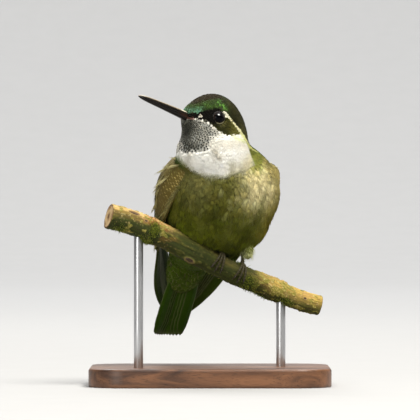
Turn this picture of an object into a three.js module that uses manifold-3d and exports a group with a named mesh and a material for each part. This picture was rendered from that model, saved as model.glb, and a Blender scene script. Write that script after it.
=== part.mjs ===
// A mountain-gem hummingbird, life size, sitting on a cut length of branch that two short rods carry
// over a flat base. Millimetres, +Z up, origin at the middle of the base's underside. The bird's breast
// faces -Y, its left side is towards +X, and its head is turned to its right.
import * as THREE from "three";
import { ParametricGeometry } from "three/addons/geometries/ParametricGeometry.js";
import { mergeVertices } from "three/addons/utils/BufferGeometryUtils.js";
import Module from "manifold-3d";

const wasm = await Module();
wasm.setup();

// ---- Driving dimensions -------------------------------------------------------------------------

const GAP = 0.3; // free space between two neighbouring pieces
const BILL = { exposed: 18.2, buried: 6.5, rise: 4.4, rootWidth: 3.0, rootDepth: 3.2, arch: 0.35 };
const EYE = { radius: 2.45, forward: 2.15, side: 5.7, up: 0.8 };
const TAIL = { length: 35, feathers: 10, rootWidth: 6.5, tipWidth: 12.8, featherWidth: 3.8, thickness: 0.8 };
const WING = {
  thickness: 2.4,
  tipThickness: 0.9,
  swing: 1.2,
  droop: 0.8,
  tuck: 1.1,
  shrug: 0.6,
  primaries: 6,
  primaryWidth: 4.4,
};
const FOOT = { left: 0.585, right: 0.475, toe: 0.55 };
const PERCH = { radius: 4.1, thin: 3.3 };
const ROD = { radius: 1.5, spacing: 46, sunk: 3 };
const BASE = { width: 78, depth: 60, height: 6, corner: 12, chamfer: 0.8 };

const v3 = (x, y, z) => new THREE.Vector3(x, y, z);
const along = (from, ...steps) =>
  steps.reduce((p, [direction, distance]) => p.addScaledVector(direction, distance), from.clone());
const blend = (...steps) => along(v3(0, 0, 0), ...steps).normalize();
const mix = THREE.MathUtils.lerp;
const smooth = THREE.MathUtils.smoothstep;
const radians = THREE.MathUtils.degToRad;

// ---- Frames of the body and of the head ---------------------------------------------------------

// Three axes of a body part: up (towards its head end), left, and out (its belly or face side).
function axes(up, leftish) {
  const a = up.clone().normalize();
  const left = leftish.clone().addScaledVector(a, -leftish.dot(a)).normalize();
  return { up: a, left, out: new THREE.Vector3().crossVectors(left, a) };
}

const bodyCentre = v3(3.4, -4.0, 61.8);
const body = axes(v3(0.225, -0.37, 0.905), v3(0.91, 0.41, 0));

const headCentre = v3(0.5, -10.5, 85.0);
const headYaw = radians(55); // turned to the bird's right, away from -Y
const headPitch = radians(15); // bill raised
const forward = v3(
  -Math.sin(headYaw) * Math.cos(headPitch),
  -Math.cos(headYaw) * Math.cos(headPitch),
  Math.sin(headPitch),
);
const headLeft = v3(Math.cos(headYaw), -Math.sin(headYaw), 0);
const head = { out: forward, left: headLeft, up: new THREE.Vector3().crossVectors(forward, headLeft) };

const inBody = (up, left, out) => along(bodyCentre, [body.up, up], [body.left, left], [body.out, out]);
const inHead = (out, left, up) => along(headCentre, [head.out, out], [head.left, left], [head.up, up]);

// ---- The plumaged body as one blended form ------------------------------------------------------

const tailRoot = inBody(-22, -1.5, -7);
const tailTip = inBody(-22 - TAIL.length, -1.8, -10);
const tailLine = axes(tailRoot.clone().sub(tailTip), body.left);
const neckAxes = axes(v3(0.1, -0.2, 1), v3(0.96, 0.05, 0));

// Each mass is an ellipsoid: its centre, the axes it lies along, and its radii along up, left and out.
const masses = {
  skull: [inHead(-0.2, 0, 0.4), head, [8.8, 7.5, 9.1]],
  foreface: [inHead(5.6, 0, -0.4), head, [4.4, 4.0, 5.3]],
  throat: [inHead(0.8, 0.1, -6.5), head, [7.5, 6.9, 7.0]],
  gorget: [v3(0.9, -14.0, 74.8), neckAxes, [7.8, 11.3, 7.6]],
  nape: [v3(2.5, -6.0, 79.0), neckAxes, [11.5, 9.4, 9.2]],
  shoulders: [inBody(3.1, 0.2, -2.5), body, [14.0, 18.4, 12.0]],
  breast: [inBody(1.0, 0.6, 1.5), body, [14.0, 18.4, 13.0]],
  belly: [inBody(-8, 0.6, 0.5), body, [13.0, 17.4, 13.2]],
  vent: [inBody(-18.5, -1.0, -3.5), body, [9.5, 11.0, 8.6]],
  coverts: [inBody(-28, -1.5, -7.5), tailLine, [11.5, 7.2, 4.1]],
};
const MELT = 1.3; // how far two masses melt into each other

// Signed distance to the blended form: the soft minimum of the distances to its masses.
function bodyDistance(p) {
  let sum = 0;
  for (const [centre, frame, radii] of Object.values(masses)) {
    const d = p.clone().sub(centre);
    const size = v3(...radii);
    const scaled = v3(d.dot(frame.up), d.dot(frame.left), d.dot(frame.out)).divide(size);
    const k = scaled.length();
    const steep = Math.max(scaled.divide(size).length(), 1e-6);
    sum += Math.exp((-k * (k - 1)) / steep / MELT);
  }
  return -MELT * Math.log(sum);
}

// ---- Solids from surfaces -----------------------------------------------------------------------

// A closed three.js geometry as a manifold-3d solid, with its poles' collapsed faces dropped.
function solidOf(geometry) {
  const bare = geometry.clone();
  bare.deleteAttribute("normal");
  bare.deleteAttribute("uv");
  const merged = mergeVertices(bare, 1e-3);
  const index = merged.index.array;
  const faces = [];
  for (let i = 0; i < index.length; i += 3) {
    const [a, b, c] = [index[i], index[i + 1], index[i + 2]];
    if (a !== b && b !== c && a !== c) faces.push([a, b, c]);
  }
  const build = (triangles) =>
    new wasm.Manifold(
      new wasm.Mesh({
        numProp: 3,
        vertProperties: merged.attributes.position.array,
        triVerts: new Uint32Array(triangles.flat()),
      }),
    );
  const made = build(faces);
  return made.volume() > 0 ? made : build(faces.map(([a, b, c]) => [a, c, b]));
}

// The largest body of a solid that a cut may have split.
function largest(solid) {
  return solid.decompose().reduce((best, s) => (s.volume() > best.volume() ? s : best));
}

const group = new THREE.Group();
function addPiece(name, solid, colour, roughness = 0.7, metalness = 0) {
  const mesh = largest(largest(solid).simplify(0.085)).getMesh();
  const geometry = new THREE.BufferGeometry();
  geometry.setAttribute("position", new THREE.BufferAttribute(mesh.vertProperties, 3));
  geometry.setIndex(new THREE.BufferAttribute(mesh.triVerts, 1));
  geometry.computeVertexNormals();
  const material = new THREE.MeshStandardMaterial({ color: colour, roughness, metalness });
  const piece = new THREE.Mesh(geometry, material);
  piece.name = name;
  group.add(piece);
}

const surface = (func, slices, stacks) => solidOf(new ParametricGeometry(func, slices, stacks));
// The plumaged body as seen from a point inside it, grown all round by a clearance: a ball whose points
// walk out along their rays until they reach the blended form.
function plumageSolid(centre, grown, detail) {
  const geometry = new THREE.IcosahedronGeometry(1, detail);
  const position = geometry.attributes.position;
  const ray = v3(0, 0, 0);
  for (let i = 0; i < position.count; i++) {
    ray.fromBufferAttribute(position, i).normalize();
    let reach = 0;
    for (let step = 0; step < 60; step++) {
      reach -= 0.8 * (bodyDistance(along(centre, [ray, reach])) - grown);
    }
    position.setXYZ(i, ...along(centre, [ray, reach]).toArray());
  }
  return solidOf(geometry);
}
const ball = (centre, radius, detail) =>
  solidOf(new THREE.SphereGeometry(radius, detail, detail).translate(centre.x, centre.y, centre.z));

// A tube along a curve whose section is an ellipse. halfSizes(s) gives its half width along side(s)
// and its half depth across that; its stacks crowd towards the far end.
function limb(curve, side, halfSizes, slices, stacks) {
  return surface(
    (around, along01, target) => {
      const s = 1 - (1 - along01) ** 1.7;
      const tangent = curve.getTangent(s);
      const across = side(s).clone();
      across.addScaledVector(tangent, -across.dot(tangent)).normalize();
      const depth = new THREE.Vector3().crossVectors(tangent, across);
      const [w, d] = along01 > 0 && along01 < 1 ? halfSizes(s) : [0, 0];
      const angle = around * 2 * Math.PI;
      target.copy(curve.getPoint(s));
      target.addScaledVector(across, w * Math.cos(angle)).addScaledVector(depth, d * Math.sin(angle));
    },
    slices,
    stacks,
  );
}

// ---- Perch: a dead branch, thicker at its knots, cut square at both ends --------------------------

const perchLine = new THREE.CatmullRomCurve3([
  v3(-32.5, -18.0, 54.8),
  v3(-25.8, -15.8, 52.9),
  v3(-19.4, -13.6, 50.2),
  v3(-12.9, -11.5, 47.3),
  v3(-3.2, -8.4, 42.3),
  v3(3.2, -6.3, 38.8),
  v3(9.7, -4.1, 35.5),
  v3(16.1, -2.0, 33.1),
  v3(22.6, 0.2, 30.0),
  v3(29.0, 2.3, 27.4),
  v3(35.5, 4.4, 25.6),
]);
const perchKnots = [0.2, 0.37, 0.76];

function perchRadius(s, angle) {
  const swell = perchKnots.reduce((sum, k) => sum + 0.45 * Math.exp(-(((s - k) / 0.035) ** 2)), 0);
  return mix(PERCH.radius, PERCH.thin, s) * (0.97 + 0.04 * Math.cos(3 * angle + 9 * s)) + swell;
}

// The perch at a share of its length: its middle, its line, and the ways to its front and its top.
function perchFrame(s) {
  const tangent = perchLine.getTangent(s);
  const side = new THREE.Vector3().crossVectors(tangent, v3(0, 0, 1)).normalize();
  const top = new THREE.Vector3().crossVectors(side, tangent);
  return { at: perchLine.getPoint(s), tangent, side, top };
}

function perchSolid(grown) {
  const stacks = 26;
  return surface(
    (around, step, target) => {
      // The first and last steps lie in the two sawn ends.
      const s = THREE.MathUtils.clamp((step * stacks - 1) / (stacks - 2), 0, 1);
      const { at, side, top } = perchFrame(s);
      const angle = around * 2 * Math.PI;
      const radius = step > 0 && step < 1 ? perchRadius(s, angle) + grown : 0;
      target.copy(at).addScaledVector(side, radius * Math.cos(angle));
      target.addScaledVector(top, radius * Math.sin(angle));
    },
    12,
    stacks,
  );
}

// ---- Bill ---------------------------------------------------------------------------------------

const billWay = blend([head.out, Math.cos(radians(BILL.rise))], [head.up, Math.sin(radians(BILL.rise))]);
const billRoot = inHead(5.0, 0, -1.3);
const billTip = billRoot.clone().addScaledVector(billWay, BILL.buried + BILL.exposed);
const billMiddle = billRoot.clone().lerp(billTip, 0.5).addScaledVector(head.up, BILL.arch);
const billLine = new THREE.QuadraticBezierCurve3(billRoot, billMiddle, billTip);
const billTaper = (s) => mix(1, 0.48, s ** 1.1) * Math.sqrt(Math.max(1 - s ** 14, 0));

function billSolid(grown) {
  const halfSizes = (s) => [
    (BILL.rootWidth / 2) * billTaper(s) + grown,
    (BILL.rootDepth / 2) * billTaper(s) + grown,
  ];
  return limb(billLine, () => head.left, halfSizes, 10, 14);
}

// A slab along the bill's line that keeps its upper half (side 1) or its lower half (side -1).
function billHalf(side) {
  const slab = new THREE.BoxGeometry(BILL.exposed + BILL.buried + 12, 12, 6);
  slab.translate(0, 0, side * (3 + 0.08));
  const up = along(head.up, [billWay, -head.up.dot(billWay)]).normalize();
  const across = new THREE.Vector3().crossVectors(up, billWay);
  slab.applyMatrix4(new THREE.Matrix4().makeBasis(billWay, across, up));
  const middle = along(billLine.getPoint(0.5), [up, -0.12]);
  return solidOf(slab.translate(middle.x, middle.y, middle.z));
}

// ---- Wings: folded blades from the wrist to the tips over the tail -------------------------------

// The folded wing's two edges in the body's axes, (up, left, out), wrist first. The leading edge lies on
// the flank and the trailing edge on the back; both run to the tip, dorsal of the tail.
const WING_EDGES = {
  leading: [
    [10.5, 12.5, 3.5],
    [6.5, 16.2, 5.0],
    [-1.0, 18.3, 4.0],
    [-12.0, 17.6, 1.0],
    [-24.0, 15.2, -4.5],
    [-36.0, 12.8, -9.5],
    [-44.0, 8.8, -12.0],
    [-50.0, 2.8, -12.8],
  ],
  trailing: [
    [10.5, 12.5, 3.1],
    [9.5, 14.6, -6.0],
    [0.0, 15.6, -11.0],
    [-11.0, 12.2, -13.2],
    [-23.0, 7.8, -13.8],
    [-34.0, 4.8, -14.2],
    [-43.0, 2.6, -13.8],
    [-50.0, 2.2, -12.9],
  ],
};
// Both folded wings swing a little to the bird's left as they near their tips.
const wingSwing = (up) => WING.swing * smooth(-up, 15, 45);

// One wing's edges: side is +1 for the left wing and -1 for the right, which is tucked closer and lower at
// the wrist and droops further out below it.
function wingEdges(side) {
  const { droop, tuck, shrug } = side < 0 ? WING : { droop: 0, tuck: 0, shrug: 0 };
  const track = (edge) =>
    new THREE.CatmullRomCurve3(
      WING_EDGES[edge].map(([up, left, out]) => {
        const open = droop * smooth(10 - up, 0, 8) * smooth(up, -40, -10) - tuck * smooth(up, -18, 2);
        return inBody(up - shrug * smooth(up, 0, 9), side * (left + open) + wingSwing(up), out);
      }),
    );
  return { leading: track("leading"), trailing: track("trailing") };
}

// A point of the wing: s from wrist to tip, q from the leading edge (0) to the trailing edge (1), and
// off the wing's outer side by lift. The wing bulges between its edges to lie round the body.
function wingPoint({ leading, trailing }, side, s, q, lift) {
  const front = leading.getPoint(s);
  const back = trailing.getPoint(s);
  const tangent = leading.getTangent(s).add(trailing.getTangent(s));
  const outward = new THREE.Vector3().crossVectors(tangent, back.clone().sub(front)).normalize();
  const camber = mix(2.8, 0.4, smooth(s, 0.25, 0.75)) * smooth(s, 0, 0.15) * 4 * q * (1 - q);
  return front.lerp(back, q).addScaledVector(outward, side * (camber + lift));
}

function wingSolid(side) {
  const edges = wingEdges(side);
  // The arm, its coverts and the secondaries as one thick lens between the edges.
  const arm = surface(
    (around, s, target) => {
      const angle = around * 2 * Math.PI;
      const closing = Math.sqrt(Math.max(1 - (2 * s - 1) ** 12, 0));
      const half = (mix(WING.thickness, WING.tipThickness, smooth(s, 0.05, 0.8)) / 2) * closing;
      const q = 0.5 - 0.5 * Math.cos(angle);
      target.copy(wingPoint(edges, side, mix(0.0, 0.78, s), q, half * Math.sin(angle)));
    },
    10,
    12,
  );
  // The primaries, each ending further out than the one behind it.
  const primaries = [];
  for (let i = 0; i < WING.primaries; i++) {
    const share = i / (WING.primaries - 1);
    const from = 0.4;
    const to = mix(1, 0.7, share ** 0.8);
    const q = mix(0.2, 0.8, share);
    const points = [];
    for (let k = 0; k <= 7; k++) {
      points.push(wingPoint(edges, side, mix(from, to, k / 7), q, 0.15 * (i - 2.5)));
    }
    const shaft = new THREE.CatmullRomCurve3(points);
    const across = (t) => {
      const s = mix(from, to, Math.min(t, 0.9));
      return wingPoint(edges, side, s, 0.9, 0).sub(wingPoint(edges, side, s, 0.1, 0));
    };
    const width = (t) => (WING.primaryWidth / 2) * mix(1, 0.55, t) * Math.sqrt(Math.max(1 - t ** 10, 0));
    const thickness = (t) => (WING.tipThickness / 2) * Math.sqrt(Math.max(1 - t ** 24, 0));
    primaries.push(limb(shaft, across, (t) => [width(t), thickness(t)], 5, 6));
  }
  return primaries.reduce((all, feather) => all.add(feather), arm);
}

// ---- Tail: ten overlapping feathers, slightly fanned ---------------------------------------------

function tailSolid() {
  const feathers = [];
  for (let i = 0; i < TAIL.feathers; i++) {
    const t = (2 * i) / (TAIL.feathers - 1) - 1; // -1 at the bird's right edge, +1 at its left edge
    const layer = 0.9 * t * t - 0.5 * (1 - Math.abs(t)) * TAIL.thickness; // middle feathers on top
    const length = TAIL.length - 1.4 * t * t - 0.6 * (1 - Math.abs(t));
    const spread = t * (TAIL.tipWidth / 2 - TAIL.featherWidth / 2);
    const from = along(tailRoot, [tailLine.left, (t * TAIL.rootWidth) / 2], [tailLine.out, layer]);
    const to = along(tailRoot, [tailLine.up, -length], [tailLine.out, layer], [tailLine.left, spread]);
    const bend = along(from.clone().lerp(to, 0.5), [tailLine.left, t * 1.2]);
    const shaft = new THREE.QuadraticBezierCurve3(from, bend, to);
    const width = (s) => (TAIL.featherWidth / 2) * mix(0.7, 1, smooth(s, 0, 0.6)) * Math.sqrt(1 - s ** 14);
    const thickness = (s) => (TAIL.thickness / 2) * Math.sqrt(1 - s ** 24);
    const across = blend([tailLine.left, 1], [tailLine.out, 0.12 * t]);
    feathers.push(limb(shaft, () => across, (s) => [width(s), thickness(s)], 5, 5));
  }
  return feathers.reduce((all, feather) => all.add(feather));
}

// ---- Legs and feet ------------------------------------------------------------------------------

// A toe starts on top of the perch and wraps round it: to the front for turn > 0, to the back for < 0.
function toeSolid(s, spread, turn, grown) {
  const { at, tangent, side, top } = perchFrame(s);
  const points = [];
  for (let i = 0; i <= 6; i++) {
    const a = Math.PI / 2 - turn * (i / 6);
    const way = [tangent, spread * (i / 6)];
    const standOff = perchRadius(s, a) + GAP + FOOT.toe + 0.1;
    points.push(along(at, way, [side, standOff * Math.cos(a)], [top, standOff * Math.sin(a)]));
  }
  const thick = (t) => (t < 0.72 ? FOOT.toe * (1 - 0.12 * t) : mix(FOOT.toe * 0.85, 0.14, (t - 0.72) / 0.28));
  const line = new THREE.CatmullRomCurve3(points);
  return limb(line, () => tangent, (t) => [thick(t) + grown, thick(t) + grown], 5, 8);
}

function footSolid(side, name, grown) {
  const s = FOOT[name];
  const { at, tangent, top } = perchFrame(s);
  const ankle = along(at, [top, perchRadius(s, Math.PI / 2) + GAP + 1.1]);
  const knee = along(ankle, [v3(0, 0, 1), 5.5], [body.out, -1.8], [body.left, side * 0.3]);
  const shank = limb(
    new THREE.CatmullRomCurve3([along(ankle, [v3(0, 0, 1), -0.5]), ankle, knee]),
    () => tangent,
    () => [0.6 + grown, 0.6 + grown],
    6,
    5,
  );
  const toes = [
    toeSolid(s, 2.1, 2.35, grown),
    toeSolid(s, 0.1, 2.5, grown),
    toeSolid(s, -1.9, 2.35, grown),
    toeSolid(s, 0.2, -2.1, grown),
  ];
  return toes.reduce((all, toe) => all.add(toe), shank).add(ball(ankle, 0.95 + grown, 7));
}

// The feathered thigh over a foot, a soft tuft that melts into the belly.
function thighSolid(side, name) {
  const { at, tangent, top } = perchFrame(FOOT[name]);
  const hem = along(at, [top, PERCH.radius + 1.6], [body.left, side * 1.4], [body.out, 0.6]);
  const hip = along(hem, [v3(0, 0, 1), 9], [body.out, -2.5], [body.left, -side * 1.0]);
  const full = (t) => 3.2 * Math.sqrt(Math.sin(Math.PI * Math.min(t, 0.985)));
  const line = new THREE.CatmullRomCurve3([hip, hip.clone().lerp(hem, 0.5), hem]);
  return limb(line, () => tangent, (t) => [full(t), full(t) * 0.9], 10, 9);
}

// ---- Stand --------------------------------------------------------------------------------------

// The height of the perch's middle over a point of the base at x, and its y there.
function perchOver(x) {
  let s = 0.5;
  for (let step = 0; step < 30; step++) s += (x - perchLine.getPoint(s).x) / 70;
  return perchLine.getPoint(s);
}
function rodSolid(side, grown) {
  const top = perchOver((side * ROD.spacing) / 2);
  const low = BASE.height - ROD.sunk - grown;
  const high = top.z - 0.5 + grown;
  const rod = new THREE.CylinderGeometry(ROD.radius + grown, ROD.radius + grown, high - low, 12);
  return solidOf(rod.rotateX(Math.PI / 2).translate(top.x, top.y, (high + low) / 2));
}
function baseSolid() {
  const w = BASE.width / 2 - BASE.chamfer;
  const d = BASE.depth / 2 - BASE.chamfer;
  const r = BASE.corner - BASE.chamfer;
  const outline = new THREE.Shape();
  outline.absarc(w - r, d - r, r, 0, Math.PI / 2);
  outline.absarc(r - w, d - r, r, Math.PI / 2, Math.PI);
  outline.absarc(r - w, r - d, r, Math.PI, 1.5 * Math.PI);
  outline.absarc(w - r, r - d, r, 1.5 * Math.PI, 2 * Math.PI);
  const block = new THREE.ExtrudeGeometry(outline, {
    depth: BASE.height - 2 * BASE.chamfer,
    bevelThickness: BASE.chamfer,
    bevelSize: BASE.chamfer,
    bevelSegments: 1,
    curveSegments: 4,
  });
  return solidOf(block.translate(0, 0, BASE.chamfer));
}

// ---- Assembly -----------------------------------------------------------------------------------

// Everything on the side of a plane its normal points to.
function beyond(point, normal) {
  const size = 160;
  const block = new THREE.BoxGeometry(size, size, size).translate(0, 0, size / 2);
  block.applyQuaternion(new THREE.Quaternion().setFromUnitVectors(v3(0, 0, 1), normal));
  return solidOf(block.translate(point.x, point.y, point.z));
}
const CUTS = {
  neck: { at: v3(1.5, -10.0, 78.6), normal: blend([v3(0.05, -0.1, 1), 1]) },
  breast: { at: v3(2.2, -9.0, 69.8), normal: blend([v3(0.1, -0.28, 0.95), 1]) },
  vent: { at: inBody(-24.5, 0, 0), normal: body.up.clone() },
};
const above = ({ at, normal }) => beyond(along(at, [normal, GAP / 2]), normal);
const aboveOrIn = ({ at, normal }) => beyond(along(at, [normal, -GAP / 2]), normal);

const perchClear = perchSolid(GAP);
const eyeCentre = (side) => inHead(EYE.forward, side * EYE.side, EYE.up);
const sides = [
  [1, "left"],
  [-1, "right"],
];

// Head, neck, trunk and vent are the form seen from the middle of each, between two thin cuts.
let headPart = plumageSolid(inHead(-0.5, 0, -2.5), 0, 6).intersect(above(CUTS.neck)).subtract(billSolid(GAP));
const neckPart = plumageSolid(v3(2.4, -8.5, 74.5), 0, 7).subtract(aboveOrIn(CUTS.neck));
let trunkPart = plumageSolid(inBody(-4, 0, 0), 0, 7).subtract(aboveOrIn(CUTS.breast));
const ventPart = plumageSolid(inBody(-27, -1.4, -7), 0, 5).subtract(aboveOrIn(CUTS.vent));
for (const [side, name] of sides) {
  headPart = headPart.subtract(ball(eyeCentre(side), EYE.radius + GAP, 9));
  trunkPart = trunkPart.add(thighSolid(side, name));
}
trunkPart = trunkPart.intersect(above(CUTS.vent)).subtract(perchClear);
for (const [side, name] of sides) trunkPart = trunkPart.subtract(footSolid(side, name, GAP));

addPiece("head", headPart, "#2f7a3d", 0.45);
addPiece("bill_upper", billSolid(0).intersect(billHalf(1)), "#0d0b0b", 0.35);
addPiece("bill_lower", billSolid(0).intersect(billHalf(-1)), "#0f0c0c", 0.35);
addPiece("neck", neckPart.intersect(above(CUTS.breast)), "#e9e9e2");
addPiece("trunk", trunkPart, "#8b8b78");
addPiece("vent", ventPart.subtract(perchClear), "#7d7f6c");

const plumageClear = plumageSolid(inBody(-4, 0, 0), GAP, 7).add(plumageSolid(inBody(-27, -1.4, -7), GAP, 5));
addPiece("tail", tailSolid().subtract(plumageClear), "#23261f", 0.5);
for (const [side, name] of sides) {
  addPiece("eye_" + name, ball(eyeCentre(side), EYE.radius, 9), "#050404", 0.08);
  addPiece("wing_" + name, wingSolid(side).subtract(plumageClear), "#4a4a3a", 0.6);
  addPiece("foot_" + name, footSolid(side, name, 0), "#1a1614", 0.5);
}

const rodHoles = rodSolid(1, GAP).add(rodSolid(-1, GAP));
addPiece("perch", perchSolid(0).subtract(rodHoles), "#9a7b4f", 0.85);
addPiece("stand_base", baseSolid().subtract(rodHoles), "#4b3324", 0.45);
for (const [side, name] of sides) addPiece("stand_rod_" + name, rodSolid(side, 0), "#b9babb", 0.3, 1);

export default group;
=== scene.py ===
import bpy
import numpy as np
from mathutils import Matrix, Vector


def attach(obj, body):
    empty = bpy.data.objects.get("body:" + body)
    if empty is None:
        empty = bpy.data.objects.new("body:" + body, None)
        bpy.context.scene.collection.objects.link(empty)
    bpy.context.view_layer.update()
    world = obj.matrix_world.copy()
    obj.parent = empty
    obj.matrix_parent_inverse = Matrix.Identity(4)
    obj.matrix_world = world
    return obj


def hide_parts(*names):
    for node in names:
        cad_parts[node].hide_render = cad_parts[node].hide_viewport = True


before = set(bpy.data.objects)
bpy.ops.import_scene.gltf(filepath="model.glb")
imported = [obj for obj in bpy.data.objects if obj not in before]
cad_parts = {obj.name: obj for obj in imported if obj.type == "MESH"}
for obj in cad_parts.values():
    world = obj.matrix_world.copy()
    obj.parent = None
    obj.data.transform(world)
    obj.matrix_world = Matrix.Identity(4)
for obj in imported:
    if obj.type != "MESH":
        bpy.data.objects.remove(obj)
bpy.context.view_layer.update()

# ---- Form ---------------------------------------------------------------------------------------
# The plumaged body is ten soft ellipsoids that melt into one another, the same ones the solids have.
# Skin, down and feathers all lie on levels of this one form, so nothing that grows on it can gape.

MM = 0.001  # a millimetre in metres
MELT = 1.3  # how far two masses melt into each other


def unit(v):
    """v divided by its length, along its last axis."""
    v = np.asarray(v, float)
    return v / np.maximum(np.linalg.norm(v, axis=-1, keepdims=True), 1e-9)


def axes(up, leftish):
    """The axes of a body part as rows: up, left made square to it, and out = left x up."""
    up = unit(up)
    left = unit(np.asarray(leftish, float) - np.dot(leftish, up) * up)
    return np.array([up, left, np.cross(left, up)])


def smooth(x, low, high):
    """0 below low, 1 above high, and the S-curve 3t^2 - 2t^3 between them."""
    t = np.clip((x - low) / (high - low), 0, 1)
    return t * t * (3 - 2 * t)


def between(x, a, b, c, d):
    """0 below a, 1 from b to c and 0 above d, with the S-curve on both sides."""
    return smooth(x, a, b) * smooth(-x, -d, -c)


def bell(x, middle, width):
    """1 at the middle and less to both sides: exp(-((x - middle) / width)^2)."""
    return np.exp(-(((x - middle) / width) ** 2))


def mix(a, b, t):
    """a at t = 0, b at t = 1, in a straight line."""
    a, b = np.asarray(a, float), np.asarray(b, float)
    return a + (b - a) * t


def over(colour, new, share):
    """colour with new laid over it, by a share from 0 to 1 at each point."""
    return mix(colour, new, np.asarray(share)[..., None])


body_centre = np.array([3.4, -4.0, 61.8])
body = axes((0.225, -0.37, 0.905), (0.91, 0.41, 0.0))
head_centre = np.array([0.5, -10.5, 85.0])
yaw, pitch = np.radians(55), np.radians(15)  # the head turns to the bird's right, bill raised
forward = np.array([-np.sin(yaw) * np.cos(pitch), -np.cos(yaw) * np.cos(pitch), np.sin(pitch)])
head_left = np.array([np.cos(yaw), -np.sin(yaw), 0.0])
head = np.array([np.cross(forward, head_left), head_left, forward])


def in_body(up, left, out):
    """A place given in the body's axes."""
    return body_centre + np.array([up, left, out]) @ body


def in_head(out, left, up):
    """A place given in the head's axes."""
    return head_centre + np.array([up, left, out]) @ head


tail_root = in_body(-22, -1.5, -7)
tail_tip = in_body(-57, -1.8, -10)
tail_line = axes(tail_root - tail_tip, body[1])
neck_axes = axes((0.1, -0.2, 1), (0.96, 0.05, 0))
masses = {
    "skull": (in_head(-0.2, 0, 0.4), head, (8.8, 7.5, 9.1)),
    "foreface": (in_head(5.6, 0, -0.4), head, (4.4, 4.0, 5.3)),
    "throat": (in_head(0.8, 0.1, -6.5), head, (7.5, 6.9, 7.0)),
    "gorget": (np.array([0.9, -14.0, 74.8]), neck_axes, (7.8, 11.3, 7.6)),
    "nape": (np.array([2.5, -6.0, 79.0]), neck_axes, (11.5, 9.4, 9.2)),
    "shoulders": (in_body(3.1, 0.2, -2.5), body, (14.0, 18.4, 12.0)),
    "breast": (in_body(1.0, 0.6, 1.5), body, (14.0, 18.4, 13.0)),
    "belly": (in_body(-8, 0.6, 0.5), body, (13.0, 17.4, 13.2)),
    "vent": (in_body(-18.5, -1.0, -3.5), body, (9.5, 11.0, 8.6)),
    "coverts": (in_body(-28, -1.5, -7.5), tail_line, (11.5, 7.2, 4.1)),
}


def form(points):
    """How far points lie outside the form, and which way that grows. Each mass gives d = k (k - 1) / s,
    with k the length of the point in radii and s that of the point in squared radii, and the form is
    -MELT log(sum of exp(-d / MELT)): the soft smallest of the ten."""
    p = np.asarray(points, float).reshape(-1, 3)
    total = np.zeros(len(p))
    slope = np.zeros((len(p), 3))
    for centre, lie, radii in masses.values():
        radii = np.array(radii)
        q = (p - centre) @ lie.T / radii
        k = np.maximum(np.sqrt((q * q).sum(1)), 1e-6)
        s = np.maximum(np.sqrt(((q / radii) ** 2).sum(1)), 1e-6)
        d = k * (k - 1) / s
        share = np.exp(-np.minimum(d, 60) / MELT)
        rise = ((2 * k - 1) / (s * k))[:, None] * (q / radii) - (d / (s * s))[:, None] * (q / radii**3)
        total += share
        slope += share[:, None] * (rise @ lie)
    level = -MELT * np.log(total)
    shape = np.shape(points)
    return level.reshape(shape[:-1]), (slope / total[:, None]).reshape(shape)


def settle(points, level, rounds):
    """points moved straight up or down the form's slope until they lie on the level asked for."""
    for _ in range(rounds):
        now, slope = form(points)
        points = points - ((now - level) / (slope**2).sum(-1))[..., None] * slope
    return points


def coat_depth(points):
    """How deep the coat is over the skin: thin on the face, deeper on neck and body, less by the tail."""
    up = (points - body_centre) @ body[0]
    depth = mix(0.55, 1.35, smooth(-np.asarray(points)[..., 2], -86, -70))
    return mix(depth, 0.85, smooth(-up, 16, 30))


def noise(points, seed=0):
    """Smooth random values from -1 to 1: a random number at each corner of a unit lattice, blended
    between the eight corners of a cell by the S-curve."""
    p = np.asarray(points, float)
    cell = np.floor(p).astype(np.int64)
    f = p - cell
    f = f * f * (3 - 2 * f)
    value = 0.0
    for corner in range(8):
        step = np.array([corner & 1, corner >> 1 & 1, corner >> 2 & 1])
        key = (cell + step) @ np.array([73856093, 19349663, 83492791]) + 9176263 * seed
        key = (key ^ (key >> 13)) * 1274126177 & 0x7FFFFFFF
        key = (key ^ (key >> 16)) * 668265263 & 0x7FFFFFFF
        weight = np.prod(np.where(step, f, 1 - f), -1)
        value = value + weight * ((key >> 7 & 0xFFFF) / 32767.5 - 1)
    return value


def layered_noise(points, layers, seed=0):
    """noise() summed over layers, each twice as fine and half as strong as the one before."""
    return sum(noise(np.asarray(points) * 2**i, seed + 17 * i) / 2**i for i in range(layers))


def to_linear(colour):
    """Display RGB from 0 to 255 as the linear light Blender works in."""
    c = np.clip(np.asarray(colour, float) / 255, 0, 1)
    return np.where(c <= 0.04045, c / 12.92, ((c + 0.055) / 1.055) ** 2.4)


# ---- Markings -----------------------------------------------------------------------------------
# Skin and coat are coloured by one rule. A green crown with painted glints, turquoise over the bill, sits
# on a black mask and dusky cheek; a white line runs back from the eye; the throat is white with dusky
# discs and ends in a plain white bib; below it the breast is grey-olive, its left flank painted pale
# with light and its belly darker with painted shade, and the back is green.

# In the head's side view, out from its centre and up: the line behind the eye, the crown's lower edge
# in front of the eye, and the lower edge of mask and cheek.
BROW_LINE = [(-12.5, -4.3), (-7.1, -1.6), (-3.9, 0.2), (-1.1, 1.8), (1.4, 3.2)]
CROWN_EDGE = [(1.4, 4.2), (2.4, 3.9), (5.0, 2.9), (7.0, 1.9), (8.7, 0.7), (10.8, 0.2)]
CHEEK_EDGE = [(-9.5, -2.9), (-6.6, -2.2), (-1.1, -4.1), (1.7, -3.7), (3.4, -2.8), (5.3, -1.6),
              (7.6, -1.2), (11, -1.4)]


def edge_at(line, out):
    """The height of a line of (out, up) points at each out, straight between its points."""
    return np.interp(out, [p[0] for p in line], [p[1] for p in line])


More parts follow.
